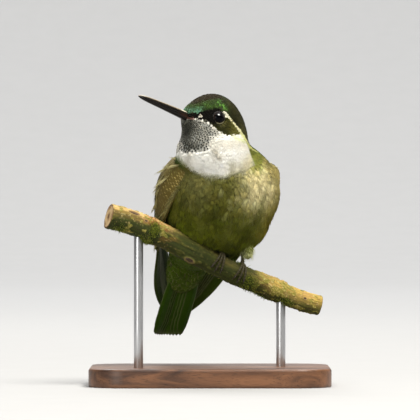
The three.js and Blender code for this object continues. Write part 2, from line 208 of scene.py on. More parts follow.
def markings(points):
    """The plumage's display colour, its gloss from 0 (matt) to 1 (metallic) and how dusky the discs of
    its feathers are, at each point."""
    up, left, out = ((points - head_centre) @ head.T).T
    side = np.abs(left)
    b_up, b_left, b_out = ((points - body_centre) @ body.T).T
    x, y, z = points.T
    patch = layered_noise(points / 3.2, 3, 3)
    colour = np.empty(points.shape)
    gloss = np.zeros(len(points))
    disc = np.zeros(len(points))

    def paint(mask, new, shine=0.0, dusky=0.0):
        nonlocal colour, gloss, disc
        mask = np.clip(mask, 0, 1)
        colour = over(colour, new, mask)
        gloss = mix(gloss, shine, mask)
        disc = mix(disc, dusky, mask)

    # The underparts, from a grey-olive breast to a belly painted darker and greener with shade and a green
    # cast of reflected light, over its own grey-olive, with paler smudges.
    colour[:] = (90, 88, 34)
    paint(smooth(-b_up, -8, 8), (82, 88, 12))
    paint(smooth(-b_up, -8, 4) * smooth(b_left, 5, 14) * 0.7, (104, 100, 40))
    paint(smooth(-b_up, -2, 8) * smooth(-b_left, 5, 14) * 0.6, (92, 101, 22))
    # Painted light: low on the left flank, which faces the light, the belly is made lighter.
    paint(smooth(-b_up, -4, 3) * smooth(b_left, 7, 13) * 0.75, (150, 143, 52))
    paint(smooth(-b_up, 12, 22), (80, 90, 26))
    paint(smooth(patch, 0.1, 0.9) * 0.3, (120, 118, 70))
    paint(smooth(-patch, 0.2, 1.0) * 0.35, (44, 48, 10))
    streak = layered_noise(np.stack([b_left / 1.1, b_up / 6.0, b_out / 1.6], 1), 2, 8)
    high = smooth(b_up, -10, 4)
    paint(smooth(streak, 0.05, 0.75) * (0.12 + 0.4 * high), (136, 136, 92))
    paint(smooth(-streak, 0.25, 0.9) * 0.4, (44, 48, 12))
    # A painted highlight on the right of the breast.
    paint(0.5 * np.exp(-(((x + 4) / 4) ** 2) - ((z - 65) / 5) ** 2), (128, 128, 88))
    # Painted light: the upper left flank, where the light falls, is painted pale cream, less so along dark
    # streaks.
    painted_lit_flank = smooth(b_left, -5, 6) * smooth(b_up, -6, 9)
    paint(painted_lit_flank * (0.95 - 0.3 * smooth(-streak, 0.1, 0.8)), (236, 224, 176))
    paint(smooth(b_left, 11.5, 16.5) * smooth(b_out, -2, 3) * 0.5, (112, 102, 44))
    paint(smooth(-b_up, 8, 14) * smooth(b_left, 3, 9) * smooth(b_out, 0, 5) * 0.7, (122, 130, 48))
    paint(smooth(-b_left, 4, 16) * smooth(b_up, -10, 6) * 0.5, (98, 94, 50))
    # The back, rump and the sides of the neck are bronze green, yellower on the shoulders.
    backed = smooth(-b_out + 0.25 * b_up, -1.5, 3.5) * smooth(b_up, -34, -30)
    paint(backed, (62, 82, 26), 0.55)
    shoulder = smooth(b_up, 11.5, 14) * smooth(b_left, 1.5, 6) * smooth(b_out, -6, 1)
    shoulder = shoulder * (1 - 0.6 * smooth(b_left, 9, 12))
    paint(shoulder * 0.95, (136, 140, 64), 0.2)
    paint(smooth(b_left, 9.5, 12) * smooth(b_up, 8, 12) * smooth(b_out, -4, 1) * 0.8, (170, 156, 96))
    # Undertail coverts: dusky with pale edges.
    paint(smooth(-b_up, 19, 25) * smooth(b_out, -9, -6), (64, 84, 14), 0.0, 0.08)
    # The neck and bib: white round the front, green behind.
    round_neck = unit(np.stack([x - 2.2, y + 8.0], 1))
    facing = -round_neck[:, 1]
    off = x - 2.6
    hem = 67.7 + np.where(off < 0, 0.036, 0.034) * off**2 + 0.5 * layered_noise(points / 2.0, 2, 5)
    paint(smooth(z, 74, 79), (64, 72, 26), 0.4)
    bib = smooth(z - hem, -1.6, 1.3) * smooth(facing - 0.22 * smooth(x, 4, 10), 0.02, 0.16)
    paint(bib, (252, 251, 244))
    paint(bib * smooth(x + 0.9 * (72 - z), 7, 14) * 0.8, (236, 226, 186))
    # Three soft folds in the bib, their shade painted in: in its middle, on its right and low on its left.
    middle = bell(x - 1.5, 0.39 * (76 - z), 1.1) * between(z, 71.8, 74.2, 75.8, 77.5)
    right = 0.6 * bell(x, -6.9, 0.8) * between(z, 70.5, 72.5, 75, 77)
    paint(bib * (middle + right) * 0.55, (148, 140, 118))
    low = bell(x, 7.1, 1.1) * between(z, 67.0, 70.0, 71.5, 74.0)
    paint(bib * low * 0.4, (176, 170, 130))
    # The head, painted over that: crown, cheek, throat.
    on_head = smooth(z - 0.35 * (y + 8), 76.5, 78.5)
    brow = edge_at(BROW_LINE, out)
    above = np.where(out > 1.4, edge_at(CROWN_EDGE, out), brow)
    cheek = edge_at(CHEEK_EDGE, out)
    behind = smooth(-out, 6.0, 9.0)
    crowned = smooth(up - above, -0.25, 0.25) * smooth(z, 77.5, 79.5)
    paint(crowned, (34, 34, 12), 0.25)
    paint(crowned * smooth(-out, 4, 9), (64, 61, 26), 0.2)
    paint(crowned * smooth(up - above, 2.0, 5.0), (44, 43, 15), 0.3)
    paint(crowned * smooth(out, -3, 2) * (0.8 + 0.3 * patch), (48, 68, 28), 0.6)
    # Over the crown's own green, bright streaks of its iridescence catching the light are painted in: a painted
    # reflection.
    flash = layered_noise(np.stack([out / 1.9, up / 0.6, left / 0.8], 1), 2, 9)
    painted_glint = bell(up - above, 1.75, 1.0) * smooth(out, -1.6, 1.0)
    painted_glint = painted_glint * (0.42 + 0.58 * smooth(-out, -6.2, -3.4))
    paint(crowned * smooth(out, -3, 0) * smooth(1.1 - up + above, 0, 0.8) * 0.6, (24, 34, 10), 0.3)
    paint(crowned * painted_glint * smooth(flash, -0.25, 0.5), (86, 130, 56), 0.8)
    paint(crowned * smooth(out, -1.2, 1.6) * smooth(up - above, 2.7, 3.9) * 0.9, (36, 28, 15), 0.0)
    over_bill = crowned * smooth(out, 6.2, 8.8) * smooth(2.6 - up + above, 0, 1.7)
    paint(over_bill * (0.85 + 0.5 * flash), (92, 134, 107), 0.25)
    throat = smooth(cheek - up, -0.2, 0.25) * smooth(facing + 0.25 * on_head, 0.05, 0.2) * smooth(z, 75, 78)
    paint(throat, (236, 233, 222))
    # Discs on chin and throat: nearly closed along its middle, open towards the sides, none on the bib.
    middle = bell(left, 1.0, 2.6)
    spotted = smooth(9.6 - side, 0, 2.5) * smooth(z - 75.2 - 2.0 * np.clip(x - 1.6, 0, 9), -0.6, 1.2)
    spotted = spotted * smooth(cheek - up, 0.1, 0.9) * smooth(facing, 0.0, 0.2) * smooth(z, 74, 75)
    # Painted shade: the chin's shaded right side is made duskier, over its own grey speckles.
    chin_shade_smudge = np.exp(-(((z - 77.2) / 1.7) ** 2) - ((x + 5.6) / 3.4) ** 2)
    outer = smooth(-x, 7.4, 9.4) * smooth(80.5 - z, 0, 2.5)
    dusk = 0.58 + 0.5 * middle + 0.3 * chin_shade_smudge + 0.35 * patch + 0.3 * noise(points / 0.8, 31)
    disc = mix(disc, np.clip(dusk - 0.8 * outer, 0.05, 1), spotted)
    paint(spotted * (0.5 + 0.5 * middle + 0.4 * chin_shade_smudge) * (1 - 0.7 * outer),
          over((84, 85, 76), (124, 125, 116), smooth(82 - z, 0, 2)), 0.0, disc)
    # Mask and cheek.
    masked = smooth(up - cheek, -0.15, 0.2) * smooth(above - up, -0.1, 0.25) * (1 - behind)
    paint(masked, over((40, 40, 12), (86, 83, 34), smooth(-out, -1.5, 5)))
    paint(masked * smooth(-streak, 0.2, 0.8) * 0.5, (40, 40, 16))
    paint(masked * smooth(out, 0.8, 3.0) * smooth(up, -2.6, -1.0), (10, 8, 4))
    rim = np.sqrt((out - 2.15) ** 2 + (up - 0.8) ** 2)
    socket = mix(2.3, 2.85, smooth(up, -0.8, 1.0) * smooth(out, 0.3, 1.8))
    paint(smooth(socket - rim, -0.25, 0.15) * (side > 4), (10, 8, 4))
    under = bell(rim, 2.75, 0.28) * smooth(0.5 - up, 0, 1) * smooth(2.4 - out, 0, 1)
    paint(under * (side > 4) * 0.25, (140, 136, 96))
    # The white line behind the eye, widening into the side of the neck.
    width = 0.36 + 0.34 * smooth(out, -2.2, 0.4) + 0.5 * smooth(-out, 4, 8)
    line = smooth(width - np.abs(up - brow), -0.15, 0.2) * smooth(1.7 - out, 0, 0.4) * (side > 3.2)
    paint(line * smooth(out, -13, -11), over((224, 219, 176), (218, 216, 194), smooth(out, -2.2, -0.4)))
    paint(line * smooth(-out, 5.5, 9.0) * 0.9, (208, 208, 142))
    # A pale spot in front of the eye, pale tips under the cheek, and the reddish corner of the gape.
    spot = smooth(0.52 - np.sqrt(((out - 7.9) / 1.1) ** 2 + (up + 0.15) ** 2), -0.1, 0.15) * (side > 2.5)
    paint(spot, (205, 198, 180))
    fringe = bell(z - 80.45, 0.33 * (6.5 - x), 0.5) * between(x, 6.0, 8.0, 10.5, 12.0)
    paint(fringe * (side > 2.5) * 0.6, (196, 206, 136))
    paint(np.exp(-(((up - cheek) / 0.4) ** 4)) * smooth(out, 8.9, 9.8) * on_head, (98, 62, 52))
    return colour, gloss, disc


# ---- Skin ---------------------------------------------------------------------------------------
# One closed hide from the bill's root over head, neck and body to the end of the tail coverts, as deep
# under the feathers as the coat is thick. It replaces head, neck, trunk and vent, so no seam shows.

AROUND, ALONG = 160, 232


def stations():
    """The slices that the skin is cut in, bill to tail: middle, back, front and left of each, how far
    its rays lean towards the end that is near, in degrees, and the way to that end."""
    up, left, out = head
    nose = unit(out - 0.12 * up)
    b_up, b_left, b_out = body
    end = -tail_line[0]
    neck_left = unit([0.85, -0.25, 0])
    return [
        (in_head(3, 0, -1), up, -up, left, 90, nose),
        (in_head(2.6, 0, -1), up, -up, left, 48, nose),
        (in_head(1.5, 0, -1.5), up, -up, left, 16, nose),
        (in_head(-1, 0, -2.5), unit(up - 0.6 * out), unit(0.5 * out - up), left, 0, nose),
        (in_head(-2.2, 0, -6), unit(0.3 * up - out), unit(out - up), left, 0, nose),
        (np.array([2.6, -8.6, 75]), unit([0.3, 0.9, 0.3]), unit([-0.12, -0.95, -0.32]), neck_left, 0, end),
        (in_body(6.5, 0, 0), unit(0.2 * b_up - b_out), b_out, b_left, 0, end),
        (in_body(-3, 0, -0.5), -b_out, b_out, b_left, 0, end),
        (in_body(-13, -0.3, -2), unit(-b_out - 0.05 * b_up), unit(b_out - 0.1 * b_up), b_left, 0, end),
        (in_body(-23, -1.2, -5.8), -b_out, unit(b_out - 0.15 * b_up), b_left, 0, end),
        (in_body(-32, -1.5, -7.8), -b_out, b_out, b_left, 15, end),
        (in_body(-35, -1.6, -8.1), -b_out, b_out, b_left, 90, end),
    ]


def through(knots, t):
    """A Catmull-Rom curve through the rows of knots, at shares t of the way."""
    knots = np.asarray(knots, float)
    at = np.clip(np.asarray(t) * (len(knots) - 1), 0, len(knots) - 1)
    i = np.minimum(at.astype(int), len(knots) - 2)
    f = (at - i).reshape(-1, *[1] * (knots.ndim - 1))
    a, b, c, d = (knots[np.clip(i + k, 0, len(knots) - 1)] for k in (-1, 0, 1, 2))
    return 0.5 * (2 * b + (c - a) * f + (2 * a - 5 * b + 4 * c - d) * f**2 + (3 * b - a - 3 * c + d) * f**3)


def skin_grid():
    """The skin's points, ALONG + 1 rows of AROUND. Rays leave each slice's middle at the angle round
    it, lean towards the nearer end, and walk out to the skin's level. Then the net is relaxed: each
    point moves to the middle of its four neighbours and back onto the level, forty times."""
    rows = stations()
    v = np.linspace(0, 1, ALONG + 1)
    at, back, front, left = (through([r[k] for r in rows], v)[:, None] for k in range(4))
    lean = np.radians(through([r[4] for r in rows], v))[:, None, None]
    end = through([r[5] for r in rows], v)[:, None]
    angle = 2 * np.pi * np.arange(AROUND)[None, :, None] / AROUND
    c, s = np.cos(angle), np.sin(angle)
    flat = unit(np.where(c > 0, back, front) * np.abs(c) + left * s)
    ray = unit(flat * np.cos(lean) + unit(end) * np.sin(lean))
    reach = np.zeros((ALONG + 1, AROUND))
    for _ in range(50):
        p = at + ray * reach[..., None]
        reach = reach - 0.8 * (form(p)[0] + coat_depth(p))
    p = at + ray * reach[..., None]
    for _ in range(40):
        middle = (np.roll(p, 1, 1) + np.roll(p, -1, 1)) / 4
        middle[1:-1] += (p[2:] + p[:-2]) / 4
        p[1:-1] = middle[1:-1]
        p = settle(p, -coat_depth(p), 1)
        p[0], p[-1] = p[0].mean(0), p[-1].mean(0)
    return p


skin_net = skin_grid()


def tube_faces(count, rings, around):
    """The faces of count tubes alike, each with rings of points and one more point at either end: four
    corners between rings, three at the ends. With them comes each corner's place, round and along from
    0 to 1, for an unwrap. A ring runs from +side towards +normal, so faces point outwards."""
    j, k = (a.ravel() for a in np.meshgrid(np.arange(rings - 1), np.arange(around), indexing="ij"))
    nxt = (k + 1) % around
    quads = np.stack([j * around + k, j * around + nxt, (j + 1) * around + nxt, (j + 1) * around + k], 1)
    square = ((0, 0), (1, 0), (1, 1), (0, 1))
    quad_places = np.stack([np.stack([k + right, j + 1 + up], 1) for right, up in square], 1)
    k = np.arange(around)
    nxt = (k + 1) % around
    root, tip, last = rings * around, rings * around + 1, (rings - 1) * around
    ends = np.concatenate([
        np.stack([np.full(around, root), nxt, k], 1),
        np.stack([np.full(around, tip), last + k, last + nxt], 1),
    ])

    def fan(*corners):
        return np.stack([np.stack([k + right, np.full(around, up)], 1) for right, up in corners], 1)

    end_places = np.concatenate([
        fan((0.5, 0), (1, 1), (0, 1)),
        fan((0.5, rings + 1), (0, rings), (1, rings)),
    ])
    size = np.array([around, rings + 1])
    step = (np.arange(count) * (rings * around + 2))[:, None, None]
    quads = (quads[None] + step).reshape(-1, 4)
    ends = (ends[None] + step).reshape(-1, 3)
    places = [np.broadcast_to(p / size, (count, *p.shape)) for p in (quad_places, end_places)]
    return quads, ends, places


def shell(points, rings, around, corner=(0, 0), size=(1, 1), **values):
    """One shell of a piece, a number of tubes alike: their points (count, rings * around + 2, 3) in
    millimetres, the corner and size of each on the unwrap, and values its points carry, three each."""
    values = {key: np.broadcast_to(value, points.shape) for key, value in values.items()}
    return points, rings, around, np.atleast_2d(corner), np.atleast_2d(size), values


def carry(mesh, key, value):
    """Gives each point of a mesh a value of three numbers."""
    attribute = mesh.attributes.new(key, "FLOAT_VECTOR", "POINT")
    attribute.data.foreach_set("vector", np.asarray(value, np.float32).ravel())


def placed(name, mesh, finish):
    """A finished mesh as an object at the origin."""
    mesh.materials.append(finish)
    piece = bpy.data.objects.new(name, mesh)
    bpy.context.scene.collection.objects.link(piece)
    return piece


def make_piece(name, shells, finish, replaces=()):
    """One mesh piece from shells. All points, faces of four and then of three corners, places on the
    unwrap and carried values go into the mesh as whole arrays."""
    points, quads, ends, quad_uv, end_uv, carried = [], [], [], [], [], {}
    first = 0
    for p, rings, around, corner, size, values in shells:
        four, three, places = tube_faces(len(p), rings, around)
        points.append(p.reshape(-1, 3))
        quads.append(four + first)
        ends.append(three + first)
        for store, place in zip((quad_uv, end_uv), places):
            store.append((corner[:, None, None] + place * size[:, None, None]).reshape(-1, 2))
        for key, value in values.items():
            carried.setdefault(key, []).append(value.reshape(-1, 3))
        first += len(points[-1])
    points, quads, ends = np.concatenate(points), np.concatenate(quads), np.concatenate(ends)
    corners = np.concatenate([quads.ravel(), ends.ravel()])
    sides = np.repeat([4, 3], [len(quads), len(ends)])
    mesh = bpy.data.meshes.new(name)
    mesh.vertices.add(len(points))
    mesh.vertices.foreach_set("co", (points * MM).astype(np.float32).ravel())
    mesh.loops.add(len(corners))
    mesh.loops.foreach_set("vertex_index", corners.astype(np.int32))
    mesh.polygons.add(len(sides))
    mesh.polygons.foreach_set("loop_start", (np.cumsum(sides) - sides).astype(np.int32))
    mesh.polygons.foreach_set("use_smooth", np.ones(len(sides), bool))
    unwrap = np.concatenate(quad_uv + end_uv)
    mesh.uv_layers.new(name="OFBake").data.foreach_set("uv", unwrap.astype(np.float32).ravel())
    for key, parts in carried.items():
        carry(mesh, key, np.concatenate(parts))
    mesh.update(calc_edges=True)
    piece = placed(name, mesh, finish)
    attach(piece, "root")
    if replaces:
        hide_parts(*replaces)


def feed(tree, node, inputs):
    """Fills a node's inputs, by name or number, with numbers, colours, sockets to link from, or nodes
    whose first output is meant."""
    for key, value in dict(inputs).items():
        if isinstance(value, bpy.types.Node):
            value = value.outputs[0]
        if isinstance(value, bpy.types.NodeSocket):
            tree.links.new(value, node.inputs[key])
        else:
            node.inputs[key].default_value = value


def adder(tree):
    """A function that adds one node to a tree: its kind, what feed() gives it, and its own settings."""

    def add(kind, inputs=(), **settings):
        node = tree.nodes.new(("Node" if kind in ("GroupInput", "GroupOutput") else "ShaderNode") + kind)
        for key, value in settings.items():
            setattr(node, key, value)
        feed(tree, node, inputs)
        return node

    return add


def new_finish(name, **constants):
    """A material, a function that feeds its Principled shader by name, and one that adds a node."""
    material = bpy.data.materials.new(name)
    material.use_nodes = True
    tree = material.node_tree
    shader = tree.nodes["Principled BSDF"]

    def look(**inputs):
        feed(tree, shader, {key.replace("_", " "): value for key, value in inputs.items()})

    look(**constants)
    return material, look, adder(tree)


def group(name, inputs, outputs):
    """A shader node group with named number, colour or vector sockets, a function that adds a node to
    it, the sockets that it is given, and a function that feeds what it tells."""
    tree = bpy.data.node_groups.new(name, "ShaderNodeTree")
    kinds = {"number": "NodeSocketFloat", "colour": "NodeSocketColor", "vector": "NodeSocketVector"}
    for key, (kind, value) in inputs.items():
        socket = tree.interface.new_socket(key, in_out="INPUT", socket_type=kinds[kind])
        if value is not None:
            socket.default_value = value
    for key, kind in outputs.items():
        tree.interface.new_socket(key, in_out="OUTPUT", socket_type=kinds[kind])
    add = adder(tree)
    given, end = add("GroupInput").outputs, add("GroupOutput")
    return tree, add, given, lambda **told: feed(tree, end, told)


def spanned(add, value, start=(0.0, 1.0), end=(0.0, 1.0), **settings):
    """A Map Range node: value brought from the span start to the span end."""
    spans = {"From Min": start[0], "From Max": start[1], "To Min": end[0], "To Max": end[1]}
    return add("MapRange", {"Value": value, **spans}, **settings)


def reckon(add, operation, *values):
    """A Math node: one operation on its values."""
    return add("Math", dict(enumerate(values)), operation=operation)


def scaled(add, colour, by):
    """A colour made lighter or darker, by times as bright."""
    return add("VectorMath", {0: colour, "Scale": by}, operation="SCALE")


# The down grain of the skin: fine streaks that lighten and darken its colour.
down_grain, add, given, tell = group(
    "down_grain",
    {"Colour": ("colour", None), "Scale": ("number", 900.0), "Contrast": ("number", 0.3)},
    {"Colour": "colour", "Height": "number"},
)
place = add("TexCoord").outputs["Object"]
speck = add("TexNoise", {"Vector": place, "Scale": given["Scale"], "Detail": 4.0, "Roughness": 0.6})
swing = reckon(add, "MULTIPLY", spanned(add, speck, (0.3, 0.7), (-1.0, 1.0)), given["Contrast"])
tell(Colour=scaled(add, given["Colour"], reckon(add, "ADD", swing, 1.0)), Height=speck)

hide, look, add = new_finish("hide", Roughness=0.85, Specular_IOR_Level=0.2)
grain = add("Group", {}, node_tree=down_grain)
feed(hide.node_tree, grain, {"Colour": add("Attribute", attribute_name="tint")})
look(Base_Color=grain,
     Normal=add("Bump", {"Height": grain.outputs["Height"], "Strength": 0.5, "Distance": 0.0003}))

HEM = 0.95  # the share of the unwrap that the body has; the thighs have the rest


def hide_tint(points):
    """The skin's own colour: the plumage's over it, a third darker where that isn't white."""
    colour = markings(points)[0]
    return to_linear(colour) * mix(0.62, 0.9, smooth(colour.min(1), 170, 240))[:, None]


skin_points = np.concatenate([skin_net[1:-1].reshape(-1, 3), skin_net[0, :1], skin_net[-1, :1]])
skin_shells = [shell(skin_points[None], ALONG - 1, AROUND, size=(1.0, HEM), tint=hide_tint(skin_points))]


# ---- Thighs and the finished skin -----------------------------------------------------------------
# A short feathered thigh stands over each foot, a soft tuft that goes up into the belly. The perch's
# line is needed here first, because the feet stand on it and the thighs stand over the feet.

PERCH = {"radius": 4.1, "thin": 3.3}
FOOT = {"left": 0.585, "right": 0.475, "toe": 0.55}
PERCH_KNOTS = (0.2, 0.37, 0.76)
PERCH_LINE = np.array([
    (-32.5, -18.0, 54.8), (-25.8, -15.8, 52.9), (-19.4, -13.6, 50.2), (-12.9, -11.5, 47.3),
    (-3.2, -8.4, 42.3), (3.2, -6.3, 38.8), (9.7, -4.1, 35.5), (16.1, -2.0, 33.1), (22.6, 0.2, 30.0),
    (29.0, 2.3, 27.4), (35.5, 4.4, 25.6),
])


def perch_frame(s):
    """At shares s of the perch: its middle, its line, and the ways to its front and to its top."""
    s = np.atleast_1d(s)
    at = through(PERCH_LINE, s)
    line = unit(through(PERCH_LINE, s + 1e-3) - through(PERCH_LINE, s - 1e-3))
    side = unit(np.cross(line, [0, 0, 1.0]))
    return at, line, side, np.cross(side, line)


def perch_radius(s, angle):
    """The perch thins along its length, is a little three-sided, and swells at its knots."""
    swell = sum(0.45 * bell(s, k, 0.035) for k in PERCH_KNOTS)
    return mix(PERCH["radius"], PERCH["thin"], s) * (0.97 + 0.04 * np.cos(3 * angle + 9 * s)) + swell


def tube(path, side, half_width, half_depth, around):
    """A tube's points: rings about a path, ellipses with one half size along side and the other across
    it, and the path's own first and last points to close it. Half sizes go by ring, or by ring and
    angle round it."""
    path = np.asarray(path, float)
    line = unit(np.gradient(path, axis=0))
    side = np.broadcast_to(np.asarray(side, float), path.shape)
    across = unit(side - (side * line).sum(-1, keepdims=True) * line)
    depth = np.cross(line, across)
    angle = 2 * np.pi * np.arange(around) / around
    w = np.broadcast_to(np.asarray(half_width, float).reshape(len(path), -1), (len(path), around))[..., None]
    d = np.broadcast_to(np.asarray(half_depth, float).reshape(len(path), -1), (len(path), around))[..., None]
    c, s = np.cos(angle)[None, :, None], np.sin(angle)[None, :, None]
    rings = path[:, None] + across[:, None] * (w * c) + depth[:, None] * (d * s)
    return np.concatenate([rings.reshape(-1, 3), path[:1], path[-1:]])[None]


def thigh_line(side, name, t):
    """The thigh's middle line, from the hip (t = 0) down to its hem (t = 1) over the perch."""
    at, line, _, top = (a[0] for a in perch_frame(FOOT[name]))
    hem = at + top * (PERCH["radius"] + 1.6) + body[1] * side * 1.4 + body[2] * 0.6
    hip = hem + np.array([0, 0, 9.0]) - body[2] * 2.5 - body[1] * side
    return mix(hip, hem, np.asarray(t)[:, None]), line


SIDES = ((1, "left"), (-1, "right"))  # which way each lies along the axis to the left
THIGH_RINGS, THIGH_ROUND = 18, 24

for side, name in SIDES:
    t = 1 - (1 - np.linspace(0.02, 0.98, THIGH_RINGS)) ** 1.4
    path, line = thigh_line(side, name, t)
    full = 2.5 * np.sqrt(np.sin(np.pi * t))
    thigh = tube(path, line, full, full * 0.9, THIGH_ROUND)
    corner = (0.0 if side > 0 else 0.5, HEM + 0.01)
    skin_shells.append(shell(thigh, THIGH_RINGS, THIGH_ROUND, corner, (0.45, 0.035), tint=hide_tint(thigh[0])))
make_piece("skin", skin_shells, hide, ("head", "neck", "trunk", "vent"))


# ---- Eyes and their lids --------------------------------------------------------------------------
# A hummingbird's eye is nearly all pupil: a dark brown ball under a clear wet cornea. The lids make one
# low ring of bare black skin round it, beaded and wrinkled like a purse's mouth.

EYE = {"radius": 2.45, "forward": 2.15, "side": 5.7, "up": 0.8, "opening": 1.9}


def eye_gaze(side):
    """The middle of an eye and the axes it looks along: round the eye's edge, and out of it."""
    middle = in_head(EYE["forward"], side * EYE["side"], EYE["up"])
    out = unit(head[1] * side + head[2] * 0.2 + head[0] * 0.06)
    level = unit(np.cross(head[0], out))
    return middle, level, np.cross(out, level), out


def turned(side, radius, height):
    """A closed surface turned about the eye's own axis from a profile: radius and height off its
    middle, row by row or row and column."""
    middle, level, rise, out = eye_gaze(side)
    radius = np.asarray(radius, float)
    around = radius.shape[1]
    angle = 2 * np.pi * np.arange(around)[None, :, None] / around
    flat = level * np.cos(angle) + rise * np.sin(angle)
    return middle + flat * radius[..., None] + out * np.asarray(height)[..., None]


cornea, look, add = new_finish("eye_wet", Roughness=0.03, Specular_IOR_Level=0.05, Coat_Weight=0.0,
                               Coat_Roughness=0.02)
ball_place = add("Attribute", attribute_name="tint").outputs["Vector"]
spread = add("SeparateXYZ", {0: ball_place}).outputs
streak = add("TexNoise", {"Vector": ball_place, "Scale": 9.0, "Detail": 3.0})
iris = add("MixRGB", {0: streak, 1: (0.006, 0.003, 0.002, 1), 2: (0.018, 0.009, 0.005, 1)})
edge = spanned(add, spread["X"], (0.60, 0.72), interpolation_type="SMOOTHSTEP")
look(Base_Color=add("MixRGB", {0: edge, 1: (0.0015, 0.0015, 0.002, 1), 2: iris}))
# The tear film is thickest on the upper half.
rising = reckon(add, "MULTIPLY", spread["X"], spread["Z"])
look(Coat_Weight=spanned(add, rising, (0.08, 0.26), (0.0, 0.85), interpolation_type="SMOOTHSTEP"))


def worn_finish(name, kind, mark, wear, bump, **constants):
    """A material for a piece that carries its own tint. A fine texture, of a kind and with the inputs
    mark, darkens and lightens it as the spans wear say; bump is how strongly and how high it stands."""
    material, look, add = new_finish(name, **constants)
    place = add("TexCoord").outputs["Object"]
    grain = add(kind, {"Vector": place, **mark})
    look(Base_Color=scaled(add, add("Attribute", attribute_name="tint"), spanned(add, grain, *wear)))
    if bump:
        look(Normal=add("Bump", {"Height": grain, "Strength": bump[0], "Distance": bump[1]}))
    return material


lid_skin = worn_finish("lid_skin", "TexVoronoi", {"Scale": 5200.0}, ((0.0, 1.0), (0.7, 1.5)), (0.6, 0.00008),
                       Roughness=0.42, Specular_IOR_Level=0.25)

BALL_RINGS, BALL_ROUND = 38, 48
LID_ROWS, LID_ROUND = 16, 96
# The lid's section: rows round a low wedge, thick lip inside and skirt outside, and how far each lies
# outside the opening and over its edge.
LID_KNOTS = [0, 2, 4, 7, 10, 13, 16]
LID_OUT = np.interp(np.arange(LID_ROWS), LID_KNOTS, [-0.06, -0.10, 0.0, 0.14, 0.42, 0.25, -0.06])[:, None]
LID_UP = np.interp(np.arange(LID_ROWS), LID_KNOTS, [-0.30, 0.0, 0.09, 0.0, -0.45, -0.75, -0.30])[:, None]

for side, name in SIDES:
    # The ball, turned from pole to pole, with the cornea standing 0.12 mm proud of it.
    polar = np.linspace(0, np.pi, BALL_RINGS + 2)[::-1, None] * np.ones((1, BALL_ROUND))
    reach = EYE["radius"] + 0.12 * bell(polar, 0, 0.62)
    net = turned(side, reach * np.sin(polar), reach * np.cos(polar))
    points = np.concatenate([net[1:-1].reshape(-1, 3), net[0, :1], net[-1, :1]])[None]
    across = np.concatenate([np.sin(polar[1:-1]).ravel() + (polar[1:-1] > np.pi / 2).ravel(), [2, 0]])
    angle = np.append(np.tile(np.arange(BALL_ROUND) / BALL_ROUND, BALL_RINGS), [0, 0])
    spot = np.stack([across, np.cos(6.283 * angle), np.sin(6.283 * angle)], 1)
    ball = shell(points, BALL_RINGS, BALL_ROUND, tint=spot)
    make_piece("eyeball_" + name, [ball], cornea, ("eye_" + name,))
    # The lid: a closed ring, beaded along its lip.
    turn = 2 * np.pi * np.arange(LID_ROUND) / LID_ROUND
    beads = 0.035 * np.cos(34 * turn)
    beads = beads + 0.03 * noise(np.stack([np.cos(turn) * 5, np.sin(turn) * 5, turn * 0], 1), 4)
    opening = EYE["opening"] * (1 + 0.035 * np.cos(2 * turn) - 0.02 * np.cos(turn))
    seat = np.sqrt(EYE["radius"] ** 2 - EYE["opening"] ** 2) + 0.10
    lip = LID_UP > -0.1
    net = turned(side, opening + LID_OUT + beads * lip, seat + LID_UP + beads * 0.6 * lip)
    row, ring = (a.ravel() for a in np.meshgrid(np.arange(LID_ROWS), np.arange(LID_ROUND), indexing="ij"))
    nxt = (ring + 1) % LID_ROUND
    here, below = row * LID_ROUND, (row + 1) % LID_ROWS * LID_ROUND
    faces = np.stack([below + ring, below + nxt, here + nxt, here + ring], 1)
    mesh = bpy.data.meshes.new("lid_" + name)
    mesh.from_pydata((net.reshape(-1, 3) * MM).tolist(), [], faces.tolist())
    mesh.polygons.foreach_set("use_smooth", np.ones(len(faces), bool))
    # Bare black skin, pale along the lower rear edge.
    pale = smooth(np.cos(turn + (1.25 if side > 0 else 1.89)), 0.45, 0.85)
    pale = pale * smooth(np.arange(LID_ROWS), 3, 5)[:, None]
    carry(mesh, "tint", over(to_linear((10, 8, 6)), to_linear((140, 134, 100)), 0.8 * pale))
    lid = placed("lid_" + name, mesh, lid_skin)
    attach(lid, "root")


# ---- Bill -----------------------------------------------------------------------------------------
# Two long sheaths of black horn that close on one seam: the upper with a rounded ridge and a slit
# nostril under a low flap at its root, the lower a little shorter, reddish where the gape begins.

BILL = {"exposed": 18.2, "buried": 6.5, "rise": 4.4, "root_width": 3.0, "root_depth": 3.2, "arch": 0.35}
bill_way = unit(head[2] * np.cos(np.radians(BILL["rise"])) + head[0] * np.sin(np.radians(BILL["rise"])))
bill_root = in_head(5.0, 0, -1.3)
bill_tip = bill_root + bill_way * (BILL["buried"] + BILL["exposed"])
bill_middle = (bill_root + bill_tip) / 2 + head[0] * BILL["arch"]
bill_up = unit(head[0] - np.dot(head[0], bill_way) * bill_way)


def bill_line(s):
    """The bill's middle line: a bow through root, middle and tip."""
    s = np.asarray(s)[:, None]
    return (1 - s) ** 2 * bill_root + 2 * s * (1 - s) * bill_middle + s**2 * bill_tip


def bill_taper(s):
    """The share of its root's thickness that the bill keeps: 0.48 near the tip, then rounded off."""
    return mix(1, 0.48, s**1.1) * np.sqrt(np.clip(1 - s**14, 0, 1))


BILL_RINGS, BILL_ROUND = 90, 40
BILL_TURN = 2 * np.pi * np.arange(BILL_ROUND) / BILL_ROUND


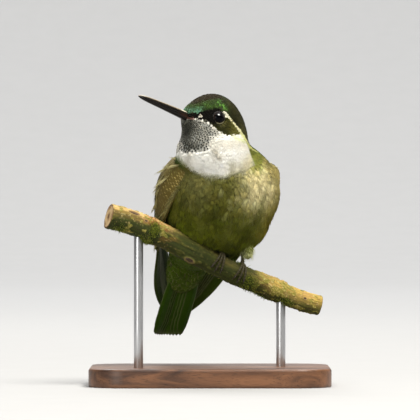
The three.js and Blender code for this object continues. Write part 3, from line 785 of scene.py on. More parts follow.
def mandible(upper, s):
    """One half of the bill: an arc over the seam, or under it, closed by a nearly flat face 0.05 mm off
    the seam. Along the side a low groove runs to the nostril, and the edge turns over into a lip."""
    c, arc = np.cos(BILL_TURN)[None], np.sin(BILL_TURN)[None]
    up = 1 if upper else -1
    along = s[:, None]
    taper = bill_taper(s)[:, None]
    bulge = np.clip(up * arc, 0, 1)
    w = BILL["root_width"] / 2 * taper * (1 + 0.03 * bell(bulge, 0, 0.12))
    d = BILL["root_depth"] / 2 * taper
    ridge = 1 + (0.05 if upper else -0.04) * bell(c, 0, 0.25)
    x = c * w * (1 - 0.10 * bulge * (1 - bulge) * 4)
    z = np.where(up * arc > 0, arc * d * ridge, up * (0.05 + 0.02 * np.abs(c)) - 0.12)
    z = np.where(up * arc > 0, z - 0.12 * (1 - bulge), z)
    if upper:
        slit = bell(along, 0.40, 0.055) * bell(bulge, 0.33, 0.10)
        flap = bell(along, 0.39, 0.075) * bell(bulge, 0.52, 0.13)
        x = x * (1 - 0.16 * slit + 0.05 * flap)
    path = bill_line(s)[:, None]
    rings = path + head[1] * x[..., None] + bill_up * z[..., None]
    ends = bill_line(np.array([s[0], s[-1]]))
    return np.concatenate([rings.reshape(-1, 3), ends])[None]


horn, look, add = new_finish("bill_horn", Specular_IOR_Level=0.2, Coat_Weight=0.0, Coat_Roughness=0.2)
place = add("Attribute", attribute_name="vane").outputs["Vector"]
stretch = add("Mapping", {"Vector": place, "Scale": (4.0, 26.0, 26.0)})
fibre = add("TexNoise", {"Vector": stretch, "Scale": 3.0, "Detail": 5.0, "Roughness": 0.65})
wear = spanned(add, fibre, (0.35, 0.75), (0.65, 1.6))
look(Base_Color=scaled(add, add("Attribute", attribute_name="tint"), wear),
     Roughness=spanned(add, fibre, end=(0.24, 0.42)),
     Normal=add("Bump", {"Height": fibre, "Strength": 0.35, "Distance": 0.0001}))

for upper, name in ((True, "bill_upper"), (False, "bill_lower")):
    s = 1 - (1 - np.linspace(0.004, 0.996, BILL_RINGS)) ** 1.35
    along = np.append(np.repeat(s, BILL_ROUND), [0, 1])
    turn = 2 * np.pi * np.append(np.tile(np.arange(BILL_ROUND) / BILL_ROUND, BILL_RINGS), [0, 0])
    c, arc = np.cos(turn), np.sin(turn)
    gape = smooth(-along, -0.40, -0.27) * bell(arc, 0, 0.35)
    colour = over(to_linear((12, 8, 4)), to_linear((70, 42, 30)), gape * (0.3 if upper else 0.6))
    colour = over(colour, to_linear((22, 18, 13)), smooth(along, 0.5, 1.0) * 0.5)
    # A painted highlight runs along the ridge of the upper half, brightest at its root and near the tip.
    ridge_highlight = smooth(arc, 0.68, 0.9) * smooth(along, 0.2, 0.26) * (0.9 if upper else 0)
    bright = bell(along, 0.93, 0.04) + smooth(-along, -0.35, -0.29)
    colour = over(colour, over(to_linear((156, 142, 116)), to_linear((224, 216, 192)), bright), ridge_highlight)
    sheath = shell(mandible(upper, s), BILL_RINGS, BILL_ROUND, tint=colour, vane=np.stack([along, c, arc], 1))
    make_piece(name + "_sheath", [sheath], horn, (name,))


# ---- Coat -----------------------------------------------------------------------------------------
# Small contour feathers grow from the skin like shingles, bill to tail, each a thin closed vane with a
# domed back. On neck, breast and belly their barbs come loose at the tip into a soft fringe. They are
# smallest on the face, stand off the skin by the coat's depth, and close round the eyes.

BILL_FOOT = in_head(9.0, 0, -1.0)


def grain_size(points):
    """The space from one feather to the next: under half a millimetre at bill and eye, 1.5 on the body."""
    up = (points - body_centre) @ body[0]
    size = mix(0.72, 1.05, smooth(-points[:, 2], -77, -71))
    size = mix(size, 1.35, smooth(-points[:, 2], -70, -60))
    size = mix(size, 1.7, smooth(-up, 16, 30))
    size = size * mix(0.60, 1, smooth(np.linalg.norm(points - BILL_FOOT, axis=1), 1.5, 8))
    near_eye = np.minimum(*(np.linalg.norm(points - eye_gaze(side)[0], axis=1) for side in (1, -1)))
    size = size * mix(0.72, 1, smooth(near_eye, 2.4, 5.5))
    rise, left, out = ((points - head_centre) @ head.T).T
    by_line = bell(rise, edge_at(BROW_LINE, out), 1.1) * (out < 1.5) * (np.abs(left) > 3)
    return size * (1 - 0.28 * by_line * smooth(points[:, 2], 75, 80))


def lie_of_coat(points, normals):
    """The way feathers lie: out from the bill's foot over the head, down the body to the tail, each
    laid into the skin's plane, and parted round the eyes."""
    off_bill = unit(points - (BILL_FOOT + head[2] * 2.0))
    down = unit(in_body(-95, -1.5, -13) - points)
    way = mix(off_bill, down, smooth(-points[:, 2], -82, -70)[:, None])
    for side in (1, -1):
        middle, _, _, out = eye_gaze(side)
        away = points - middle
        away = away - (away @ out)[:, None] * out
        reach = np.linalg.norm(away, axis=1)
        way = way + unit(away) * (0.8 * bell(reach, 1.8, 1.0))[:, None] * (reach < 5)[:, None]
    way = way - (way * normals).sum(1, keepdims=True) * normals
    return unit(way)


BATCH = 128  # how many points are measured against their neighbours at once


def unwrapped(points):
    """Where points on the skin lie on its unwrap: from the nearest corner of its net, the steps along
    the net's two edges there that come closest, by least squares."""
    flat = skin_net.reshape(-1, 3)
    order, rank = np.argsort(flat[:, 2]), np.argsort(points[:, 2])
    nearest = np.empty(len(points), int)
    for first in range(0, len(points), BATCH):
        part = rank[first:first + BATCH]
        low, high = np.searchsorted(flat[order, 2], (points[part[0], 2] - 1.2, points[part[-1], 2] + 1.2))
        far = ((points[part][:, None] - flat[order[None, low:high]]) ** 2).sum(2)
        nearest[part] = order[low + far.argmin(1)]
    off = points - flat[nearest]
    u = (np.roll(skin_net, -1, 1) - skin_net).reshape(-1, 3)[nearest]
    v = np.gradient(skin_net, axis=0).reshape(-1, 3)[nearest]
    uu, uv, vv = (u * u).sum(1), (u * v).sum(1), (v * v).sum(1)
    along_u, along_v = (off * u).sum(1), (off * v).sum(1)
    whole = np.maximum(uu * vv - uv * uv, 1e-9)
    step = np.stack([along_u * vv - along_v * uv, along_v * uu - along_u * uv], 1) / whole[:, None]
    corner = np.stack(np.divmod(nearest, AROUND)[::-1], 1) + np.clip(step, -1, 1)
    return np.clip(np.stack([corner[:, 0] / AROUND % 1, corner[:, 1] / ALONG * HEM], 1), 0.0015, 0.998)


def spread_out(points, rounds=14):
    """Roots pushed apart until each has its own space: any two nearer than 1.25 spaces push each other
    off along the line between them, the more the nearer, and all go back to the skin's level."""
    for _ in range(rounds):
        points = points[np.argsort(points[:, 2])]
        space = grain_size(points)
        push = np.zeros_like(points)
        for first in range(0, len(points), 2 * BATCH):
            batch = slice(first, first + 2 * BATCH)
            part = points[batch]
            low, high = np.searchsorted(points[:, 2], (part[0, 2] - 2.2, part[-1, 2] + 2.2))
            gap = part[:, None] - points[None, low:high]
            far = np.maximum(np.linalg.norm(gap, axis=2), 1e-6)
            reach = 0.625 * (space[batch, None] + space[None, low:high])
            force = np.clip(1 - far / reach, 0, 1) / far * (far > 1e-5)
            push[batch] = (gap * force[..., None]).sum(1)
        points = points + 0.4 * space[:, None] * push
        points = settle(points, -coat_depth(points), 1)
    return points


def even_pairs(count):
    """Two numbers from 0 to 1 for each of count things, so that all fill a square evenly: the R2
    sequence, whose steps are 1/g and 1/g^2, where g^3 = g + 1."""
    g, n = 1.32471795724, np.arange(count) + 0.5
    return n / g % 1, n / g**2 % 1


def scatter():
    """Roots spread evenly over the skin, one to each feather's own space: even pairs bent through the
    running sums of room along and round the skin."""
    net = np.concatenate([skin_net, skin_net[:, :1]], 1)
    edge_u, edge_v = net[:-1, 1:] - net[:-1, :-1], net[1:, :-1] - net[:-1, :-1]
    area = np.linalg.norm(np.cross(edge_u, edge_v), axis=2)
    middle = (net[:-1, :-1] + net[1:, 1:]) / 2
    room = area / grain_size(middle.reshape(-1, 3)).reshape(area.shape) ** 2
    a, b = even_pairs(int(room.sum()))
    rows = np.concatenate([[0], np.cumsum(room.sum(1))]) / room.sum()
    j = np.clip(np.searchsorted(rows, a, side="right") - 1, 0, ALONG - 1)
    fj = (a - rows[j]) / (rows[j + 1] - rows[j])
    columns = np.concatenate([np.zeros((ALONG, 1)), np.cumsum(room, 1)], 1)
    columns = columns / np.maximum(columns[:, -1:], 1e-9)
    k = np.clip((columns[j] <= b[:, None]).sum(1) - 1, 0, AROUND - 1)
    fj, fi = fj[:, None], ((b - columns[j, k]) / (columns[j, k + 1] - columns[j, k]))[:, None]
    point = mix(mix(net[j, k], net[j, k + 1], fi), mix(net[j + 1, k], net[j + 1, k + 1], fi), fj)
    return spread_out(point)


def vane_width(s, tip):
    """A vane's width along it, 1 at its widest: a quick swell from the quill and a round or, for tip
    near 0, pointed end."""
    end = np.clip((s - 0.5) / 0.5, 0, 1) ** (2.2 + 1.5 * tip)
    return smooth(s, -0.12, 0.45) ** 0.8 * np.clip(1 - end, 0, 1) ** 0.55


def on_coat(pick):
    """For the picked roots, a function that lays points x along and y across each feather and bends
    them onto the level that is height over the skin."""

    def place(x, y, height):
        flat = root[pick][:, None] + way[pick][:, None] * x[..., None] + across[pick][:, None] * y[..., None]
        return settle(flat, height - root_depth[pick][:, None], 2)

    return place


VANE_ALONG = (0.12, 0.38, 0.62, 0.82, 0.95)  # where a vane's rings lie along it
VANE_RINGS, VANE_ROUND = len(VANE_ALONG), 6
SIDEWAYS = 0.22  # how far a feather's tip strays to one side, as a share of its length


def climb(s, rise):
    """The height of a feather over the skin: up from under it in the first third, then nearly level, so
    that each lies close on the next."""
    return (rise + 0.15) * (1 - np.clip(1 - s, 0, 1) ** 2.6) - 0.15 + 0.07 * s


def vanes(place, length, width, rise, dome, tip, chance):
    """Contour feathers: rings of six points, flat lenses that dome over the quill and climb from the
    skin to their tip. place(x, y, height) lays points along, across and over what they grow on."""
    length, width, rise, dome, tip, chance = (a[:, None] for a in (length, width, rise, dome, tip, chance))
    angle = 2 * np.pi * np.arange(VANE_ROUND) / VANE_ROUND
    s = np.repeat(VANE_ALONG, VANE_ROUND)[None]
    c, z = (np.tile(a, VANE_RINGS)[None] for a in (np.cos(angle), np.sin(angle)))
    w = width / 2 * vane_width(s, tip)
    x = length * (s + 0.03 * (1 - c * c) * s)
    y = w * c + (chance - 0.5) * SIDEWAYS * length * s * s
    height = climb(s, rise) + dome * w * (1 - c * c) + 0.03 * z * (1.2 - s)
    quill, end = np.array([[0.0, 1.0]]), (chance - 0.5) * SIDEWAYS * length
    x = np.concatenate([x, length * quill], 1)
    y = np.concatenate([y, end * quill], 1)
    height = np.concatenate([height, climb(quill, rise)], 1)
    vane = np.stack(np.broadcast_arrays(np.append(s, [0, 1]), np.append(c, [0, 0]), chance), 2)
    return place(x, y, height), vane


# A loose hair: two rings of three points and its two ends, where they lie along it and round it.
HAIR_RINGS, HAIR_ROUND = 2, 3
HAIR_ALONG = np.append(np.repeat([0.3, 0.68], HAIR_ROUND), [0.0, 1.0])
HAIR_C, HAIR_Z = (np.append(np.tile(turn(2 * np.pi * np.arange(HAIR_ROUND) / HAIR_ROUND), HAIR_RINGS), [0, 0])
                  for turn in (np.cos, np.sin))
PATCH = (0.003, 0.003)  # the room of one hair or small feather on the unwrap


def barbs(place, length, width, rise, chance, strands, reach, seed):
    """Loose barbs: strands to a feather, each a three-sided hair that leaves its vane near the middle
    and runs on to reach (low, high) times its length, spread like a fan, each a little higher or lower
    than the next."""
    rng = np.random.default_rng(seed)
    n = len(length)
    fan = np.linspace(-1, 1, strands)[None] + rng.normal(0, 0.16, (n, strands))
    reach = rng.uniform(*reach, (n, strands)) - 0.14 * fan**2
    lift = rng.normal(0.03, 0.035, (n, strands))
    curl = rng.normal(0, 0.10, (n, strands))
    thick = rng.uniform(0.035, 0.055, (n, strands)) * (0.75 + 0.25 * length[:, None])
    length, width, rise, chance = (a[:, None, None] for a in (length, width, rise, chance))
    s, c, z = HAIR_ALONG, HAIR_C, HAIR_Z
    start = rng.uniform(0.36, 0.62, (n, strands))[..., None]
    t = start + (reach[..., None] - start) * s
    slim = 1.15 - s
    x = length * t
    y = width * (0.36 * fan[..., None] * (0.7 + 0.55 * s) + curl[..., None] * s * s)
    y = y + thick[..., None] * c * slim + (chance - 0.5) * SIDEWAYS * length * t * t
    height = climb(t, rise) + 0.04 + lift[..., None] * s * length + thick[..., None] * 0.8 * z * slim
    points = place(*(a.reshape(n, -1) for a in (x, y, height))).reshape(n * strands, -1, 3)
    vane = np.stack(np.broadcast_arrays(0.6 * t, 0.6, rng.random((n, strands))[..., None]), 3)
    return points, vane.reshape(points.shape)


# The plumage finish. A vane carries its place: along, across and a chance number. Barbs run out from
# the quill as fine slanting lines; a dusky disc or a pale edge is drawn by its place on the vane.
feather_marks, add, given, tell = group(
    "feather_marks",
    {"Colour": ("colour", None), "Vane": ("vector", None), "Traits": ("vector", None),
     "Barbs": ("number", 30.0)},
    {"Colour": "colour", "Height": "number", "Gloss": "number"},
)
vane = add("SeparateXYZ", {0: given["Vane"]}).outputs
trait = add("SeparateXYZ", {0: given["Traits"]}).outputs
side = reckon(add, "ABSOLUTE", vane["Y"])
run = reckon(add, "ADD", vane["X"], reckon(add, "MULTIPLY", side, -0.55))
phase = reckon(add, "MULTIPLY_ADD", vane["Z"], 9.0, reckon(add, "MULTIPLY", run, given["Barbs"]))
wave = reckon(add, "SINE", reckon(add, "MULTIPLY", phase, 6.2832))
quill = spanned(add, side, (0.0, 0.14), (1.0, 0.0))
light = reckon(add, "MULTIPLY_ADD", wave, 0.05, 1.0)
light = reckon(add, "MULTIPLY_ADD", quill, -0.10, light)
# The disc: an ellipse about a point three quarters of the way to the tip.
away = reckon(add, "MULTIPLY", reckon(add, "SUBTRACT", vane["X"], 0.74), 4.6)
wide = reckon(add, "MULTIPLY", side, 1.45)
ring = reckon(add, "ADD", reckon(add, "MULTIPLY", away, away), reckon(add, "MULTIPLY", wide, wide))
ring = reckon(add, "DIVIDE", ring, reckon(add, "MULTIPLY_ADD", trait["Y"], 1.5, 0.2))
disc = spanned(add, ring, (0.3, 1.3), (1.0, 0.0), interpolation_type="SMOOTHSTEP")
disc = reckon(add, "MULTIPLY", disc, spanned(add, trait["Y"], (0.02, 0.3)))
hem = reckon(add, "MAXIMUM", reckon(add, "POWER", side, 3.0), reckon(add, "POWER", vane["X"], 14.0))
hem = reckon(add, "MULTIPLY", spanned(add, hem, (0.35, 0.8)), trait["Z"])
dusky = add("MixRGB", {0: disc, 1: given["Colour"], 2: (*to_linear((38, 39, 34)), 1)})
edged = add("MixRGB", {0: hem, 1: dusky, 2: (*to_linear((190, 176, 140)), 1)})
tell(Colour=scaled(add, edged, light), Height=wave, Gloss=trait["X"])


def plumage_finish(name, barbs, roughness, metal):
    """A feather material: matt where its gloss is 0, and more and more a dark metal as it rises."""
    material, look, add = new_finish(name, Specular_IOR_Level=0.06, Sheen_Weight=0.02, Sheen_Roughness=0.5)
    marks = add("Group", {}, node_tree=feather_marks)
    given = {key: add("Attribute", attribute_name=key.lower()).outputs["Vector"] for key in ("Vane", "Traits")}
    given["Colour"] = add("Attribute", attribute_name="tint").outputs["Vector"]
    feed(material.node_tree, marks, {**given, "Barbs": barbs})
    gloss = marks.outputs["Gloss"]
    look(Base_Color=marks, Roughness=spanned(add, gloss, end=(roughness, 0.36)),
         Metallic=spanned(add, gloss, end=(0.0, metal)),
         Normal=add("Bump", {"Height": marks.outputs["Height"], "Strength": 0.25, "Distance": 0.00006}))
    return material


coat_finish = plumage_finish("contour_feathers", 22.0, 0.75, 0.75)

root = scatter()
root_unwrap = unwrapped(root)
root_depth = coat_depth(root)
root_normal = unit(form(root)[1])
way = lie_of_coat(root, root_normal)
size = grain_size(root)
rng = np.random.default_rng(11)
chance = rng.random(len(root))
# Feathers lean together in locks a few millimetres wide, and each a little its own way.
on_body = smooth(-root[:, 2], -80, -70)
lock = layered_noise(root / 4.5, 2, 21) * mix(0.08, 0.13, on_body) + rng.normal(0, 0.07, len(root))
snowy = smooth(markings(root)[0].min(1), 190, 235) * smooth(-root[:, 2], -82, -78)
lock = lock * (1 - 0.85 * snowy)
across = np.cross(root_normal, way)
way = unit(way + across * lock[:, None])
across = np.cross(root_normal, way)
rearward = smooth(-(root - body_centre) @ body[0], 15, 22)
length = size * mix(mix(2.4, 3.6, on_body), 2.7, rearward) * rng.uniform(0.88, 1.12, len(root))
width = size * (mix(1.5, 1.9, on_body) + 0.6 * snowy) * rng.uniform(0.92, 1.08, len(root))
rough = mix(0.04, 0.10, on_body) * (1 - 0.85 * snowy)
chance = mix(chance, 0.5, 0.6 * snowy)
rise = root_depth * (0.97 + rough * layered_noise(root / 3.0, 2, 23)) + rng.normal(0, 0.018, len(root))
dome = mix(0.10, 0.04, on_body)
tip = smooth(root[:, 2], 66, 78)
shown = settle(root + way * (0.75 * length)[:, None], 0 * length, 2)  # where a feather's tip is seen

# No feather grows on the eye, the bill's root, or under the perch.
keep = np.ones(len(root), bool)
for side, _ in SIDES:
    middle, _, _, out = eye_gaze(side)
    for share in (0.0, 0.35, 0.7, 1.0):
        off = root + way * (share * length)[:, None] + root_normal * (root_depth * share)[:, None] - middle
        aside = np.linalg.norm(off - (off @ out)[:, None] * out, axis=1)
        keep &= ~((aside < EYE["opening"] + 0.05) & (off @ out > 0))
off = root - bill_root
past = off @ bill_way
keep &= ~((past > 2.0) & (np.linalg.norm(off - past[:, None] * bill_way, axis=1) < 1.35))
perch_middle = perch_frame(np.linspace(0, 1, 240))[0]
nearest = np.linalg.norm(shown[:, None] - perch_middle, axis=2).min(1)
keep &= nearest > PERCH["radius"] + 0.35

colour, gloss, disc = markings(shown)
paleness = smooth(colour.min(1), 90, 215)
colour = colour * (1 + mix(0.06, 0.012, paleness) * rng.normal(0, 1, len(root)))[:, None]
fade = (mix(0.016, 0.003, paleness) * rng.normal(0, 1, len(root)))[:, None] * (1, 0.2, -1)
colour = np.clip(colour * (1 + fade), 0, 253)
up, left, out = ((root - body_centre) @ body.T).T
z, pale = root[:, 2], colour.min(1) > 130
edge_pale = 0.14 * smooth(-up, 18, 26) + 0.25 * smooth(-out, 2, 8)

# Tracts, each taking what those before it left: the loose barbs that a feather has there, and how far
# past its tip they run, as shares of its length.
tracts = {
    "coat_throat": ((disc > 0.2) & (z > 74), 0, (0.9, 1.0)),
    "coat_head": (z > 79.5, 4, (0.92, 1.12)),
    "coat_bib": ((z > 66.0) & pale, 22, (1.0, 1.5)),
    "coat_neck": ((z > 70.5) & ~pale, 8, (0.95, 1.2)),
    "coat_vent": (up < -17.5, 6, (0.9, 1.1)),
    "coat_back": ((z <= 70.5) & (out < -1.5), 5, (0.95, 1.2)),
    "coat_breast_left": ((out >= -1.5) & (up > -4) & (left > 0), 13, (1.0, 1.4)),
    "coat_breast_right": ((out >= -1.5) & (up > -4), 13, (1.0, 1.4)),
    "coat_belly": (out >= -1.5, 13, (1.0, 1.45)),
}
taken = np.zeros(len(root), bool)
for name, (tract, strands, reach) in tracts.items():
    pick = keep & tract & ~taken
    taken |= pick
    sizes = length[pick], width[pick], rise[pick]
    points, vane = vanes(on_coat(pick), *sizes, dome[pick], tip[pick], chance[pick])
    base = mix(mix(0.86, 0.97, snowy[pick])[:, None, None], 1.0, smooth(vane[..., :1], 0.3, 0.8))
    tone = to_linear(colour[pick])
    traits = np.stack([gloss[pick], disc[pick], edge_pale[pick]], 1)
    corner = root_unwrap[pick] - 0.0015
    shells = [shell(points, VANE_RINGS, VANE_ROUND, corner, PATCH,
                    tint=tone[:, None] * base, vane=vane, traits=traits[:, None])]
    if strands:
        hair, vane = barbs(on_coat(pick), *sizes, chance[pick], strands, reach, 31)
        tone, corner, traits, swing = (np.repeat(a, strands, 0) for a in (
            tone, corner, traits * (0.5, 0, 0), mix(0.16, 0.05, paleness[pick])))
        tone = tone * (1.02 + swing * rng.uniform(-1, 1, len(tone)))[:, None]
        shells.append(shell(hair, HAIR_RINGS, HAIR_ROUND, corner, PATCH,
                            tint=tone[:, None], vane=vane, traits=traits[:, None]))
    make_piece(name, shells, coat_finish)


# ---- Wings ----------------------------------------------------------------------------------------
# The folded wing is a thin padded arm under small coverts, ten long stiff primaries that stack from
# the leading edge in, and six short secondaries over them. Each flight feather has a horny quill, a
# narrow outer web and a broad inner one, dusky with a fine pale edge.

WING = {"thickness": 2.4, "tip_thickness": 0.9, "fill": 0.72, "swing": 1.2, "droop": 0.8, "tuck": 1.1,
        "shrug": 0.6, "primaries": 10, "secondaries": 6}
# The folded wing's two edges in the body's axes, up, left and out, from the wrist to the tip.
LEADING = [(10.5, 12.5, 3.5), (6.5, 16.2, 5.0), (-1.0, 18.3, 4.0), (-12.0, 17.6, 1.0),
           (-24.0, 15.2, -4.5), (-36.0, 12.8, -9.5), (-44.0, 8.8, -12.0), (-50.0, 2.8, -12.8)]
TRAILING = [(10.5, 12.5, 3.1), (9.5, 14.6, -6.0), (0.0, 15.6, -11.0), (-11.0, 12.2, -13.2),
            (-23.0, 7.8, -13.8), (-34.0, 4.8, -14.2), (-43.0, 2.6, -13.8), (-50.0, 2.2, -12.9)]
WING_LENGTH = 66.0


def wing_edge(line, side):
    """A wing's edge as points: the left wing's as given, the right one's mirrored, tucked closer and
    lower at the wrist and drooping further out below it; both swing to the bird's left at their tips."""
    up, left, out = np.array(line).T
    right = side < 0
    droop = WING["droop"] * smooth(10 - up, 0, 8) * smooth(up, -40, -10)
    opened = right * (droop - WING["tuck"] * smooth(up, -18, 2))
    swing = WING["swing"] * smooth(-up, 15, 45)
    lower = right * WING["shrug"] * smooth(up, 0, 9)
    return body_centre + np.stack([up - lower, side * (left + opened) + swing, out], 1) @ body


def wing_point(side, s, q, lift):
    """A place on the wing: s from wrist to tip, q from leading to trailing edge, and off its outer side
    by lift. The wing bulges between its edges, by 2.8 mm at the arm and 0.4 mm at the tip."""
    s, q, lift = np.broadcast_arrays(s, q, lift)
    flat = s.ravel()
    lead, trail = wing_edge(LEADING, side), wing_edge(TRAILING, side)
    front, back = through(lead, flat), through(trail, flat)
    line = sum(through(edge, flat + 5e-3) - through(edge, flat - 5e-3) for edge in (lead, trail))
    outward = unit(np.cross(line, back - front)) * side
    camber = mix(2.8, 0.4, smooth(s, 0.25, 0.75)) * smooth(s, 0, 0.15) * 4 * q * (1 - q)
    points = mix(front, back, q.ravel()[:, None]) + outward * (camber + lift).ravel()[:, None]
    return points.reshape(*s.shape, 3)


def arm_point(side, s, turn):
    """A place on the padded arm, a lens between the wing's edges: turn is 0 at the leading edge, pi at
    the trailing edge and between them on the outer side. With it comes the way out of the lens."""

    def lens(s, turn):
        closing = np.sqrt(np.clip(1 - (np.clip(2 * s / 0.78 - 1, -1, 1)) ** 12, 0, 1))
        half = WING["fill"] * mix(WING["thickness"], WING["tip_thickness"], smooth(s, 0.05, 0.8)) / 2 * closing
        return wing_point(side, s, 0.5 - 0.5 * np.cos(turn), half * np.sin(turn))

    at = lens(s, turn)
    along = lens(s + 2e-3, turn) - lens(s - 2e-3, turn)
    round_ = lens(s, turn + 1e-2) - lens(s, turn - 1e-2)
    return at, unit(np.cross(round_, along)) * side


# A flight feather's section: nine points over its back and seven under it, close by the quill.
SECTION_C = np.array([1, 0.8, 0.45, 0.1, 0, -0.1, -0.45, -0.8, -1, -0.8, -0.45, -0.1, 0, 0.1, 0.45, 0.8])
SECTION_Z = np.array([0, 1, 1, 1, 1, 1, 1, 1, 0, -1, -1, -1, -1, -1, -1, -1])
FLIGHT_RINGS, FLIGHT_ROUND = 36, len(SECTION_C)


def flight_feathers(path, side, half, outer_share, thick, camber, chance):
    """Long stiff vanes along paths (count, rings, 3). side points to the outer web and half is the half
    width by ring; the outer web keeps outer_share of it. Over the section the vane is thick, bows by
    camber and carries a quill. Here and there the web has come apart in a small notch."""
    count, rings = path.shape[:2]
    outer_share = outer_share[:, None, None]
    line = unit(np.gradient(path, axis=1))
    across = unit(side - (side * line).sum(-1, keepdims=True) * line)
    up = np.cross(line, across)
    t = np.linspace(0, 1, rings)[None, :, None]
    c = SECTION_C[None, None]
    web = np.where(c > 0, outer_share, 2 - outer_share)
    notch = 0
    for i, at in enumerate((0.46, 0.63, 0.81, 0.9)):
        where = at + 0.1 * (chance * (7 + 5 * i) % 1 - 0.5)[:, None, None]
        deep = 0.16 * (chance * (3 + i) * 3.7 % 1)[:, None, None]
        notch = notch + deep * bell(t, where, 0.018)
    y = half[..., None] * web * c * (1 - notch * (np.abs(c) > 0.7))
    quill = 0.16 * bell(c, 0, 0.09) * np.clip(1.15 - t, 0.1, 1)
    z = thick * SECTION_Z * (0.35 + 0.65 * (1 - t)) + (quill + 0.04) * SECTION_Z * (np.abs(c) < 0.2)
    z = z - camber[:, None, None] * c * c
    points = path[:, :, None] + across[:, :, None] * y[..., None] + up[:, :, None] * z[..., None]
    points = np.concatenate([points.reshape(count, -1, 3), path[:, :1], path[:, -1:]], 1)
    along = np.append(np.repeat(t, FLIGHT_ROUND), [0, 1])
    aside = np.append(np.tile(SECTION_C, rings), [0, 0])
    return points, np.stack(np.broadcast_arrays(along, aside, chance[:, None]), 2)


def plumes(root, way, lean, length, thick):
    """Free hairs, three-sided and closed: the middle line is root + length (way s + lean s^2), the
    section thins from thick towards the tip as 1.15 - s does."""
    s, c, z = (a[None, :, None] for a in (HAIR_ALONG, HAIR_C, HAIR_Z))
    way = unit(way)
    aside = unit(np.cross(way, [0.31, 0.17, 0.93]))
    other = np.cross(way, aside)
    line = root[:, None] + length[:, None, None] * (way[:, None] * s + lean[:, None] * s * s)
    return line + (aside[:, None] * c + other[:, None] * z) * thick[:, None, None] * (1.15 - s)


quill_finish = plumage_finish("flight_feathers", 90.0, 0.62, 0.55)


def flight_shell(points, vane, colour, traits, corner, size, base=None):
    """A shell of flight feathers with one colour and one set of traits to a feather, a little darker at
    the quill's foot; where a base colour is given, they start in it."""
    tint = to_linear(colour)[:, None] * mix(0.8, 1.05, smooth(vane[..., :1], 0.0, 0.6))
    if base:
        tint = mix(to_linear(base), tint, smooth(vane[..., :1], 0.1, 0.36))
    return shell(points, FLIGHT_RINGS, FLIGHT_ROUND, corner, size, tint=tint, vane=vane, traits=traits[:, None])


ARM_RINGS, ARM_ROUND = 40, 28
ARM = 0.46  # the share of the wing that its coverts clothe
COVERTS, STRANDS, STRAY_HAIRS = 460, 5, 16

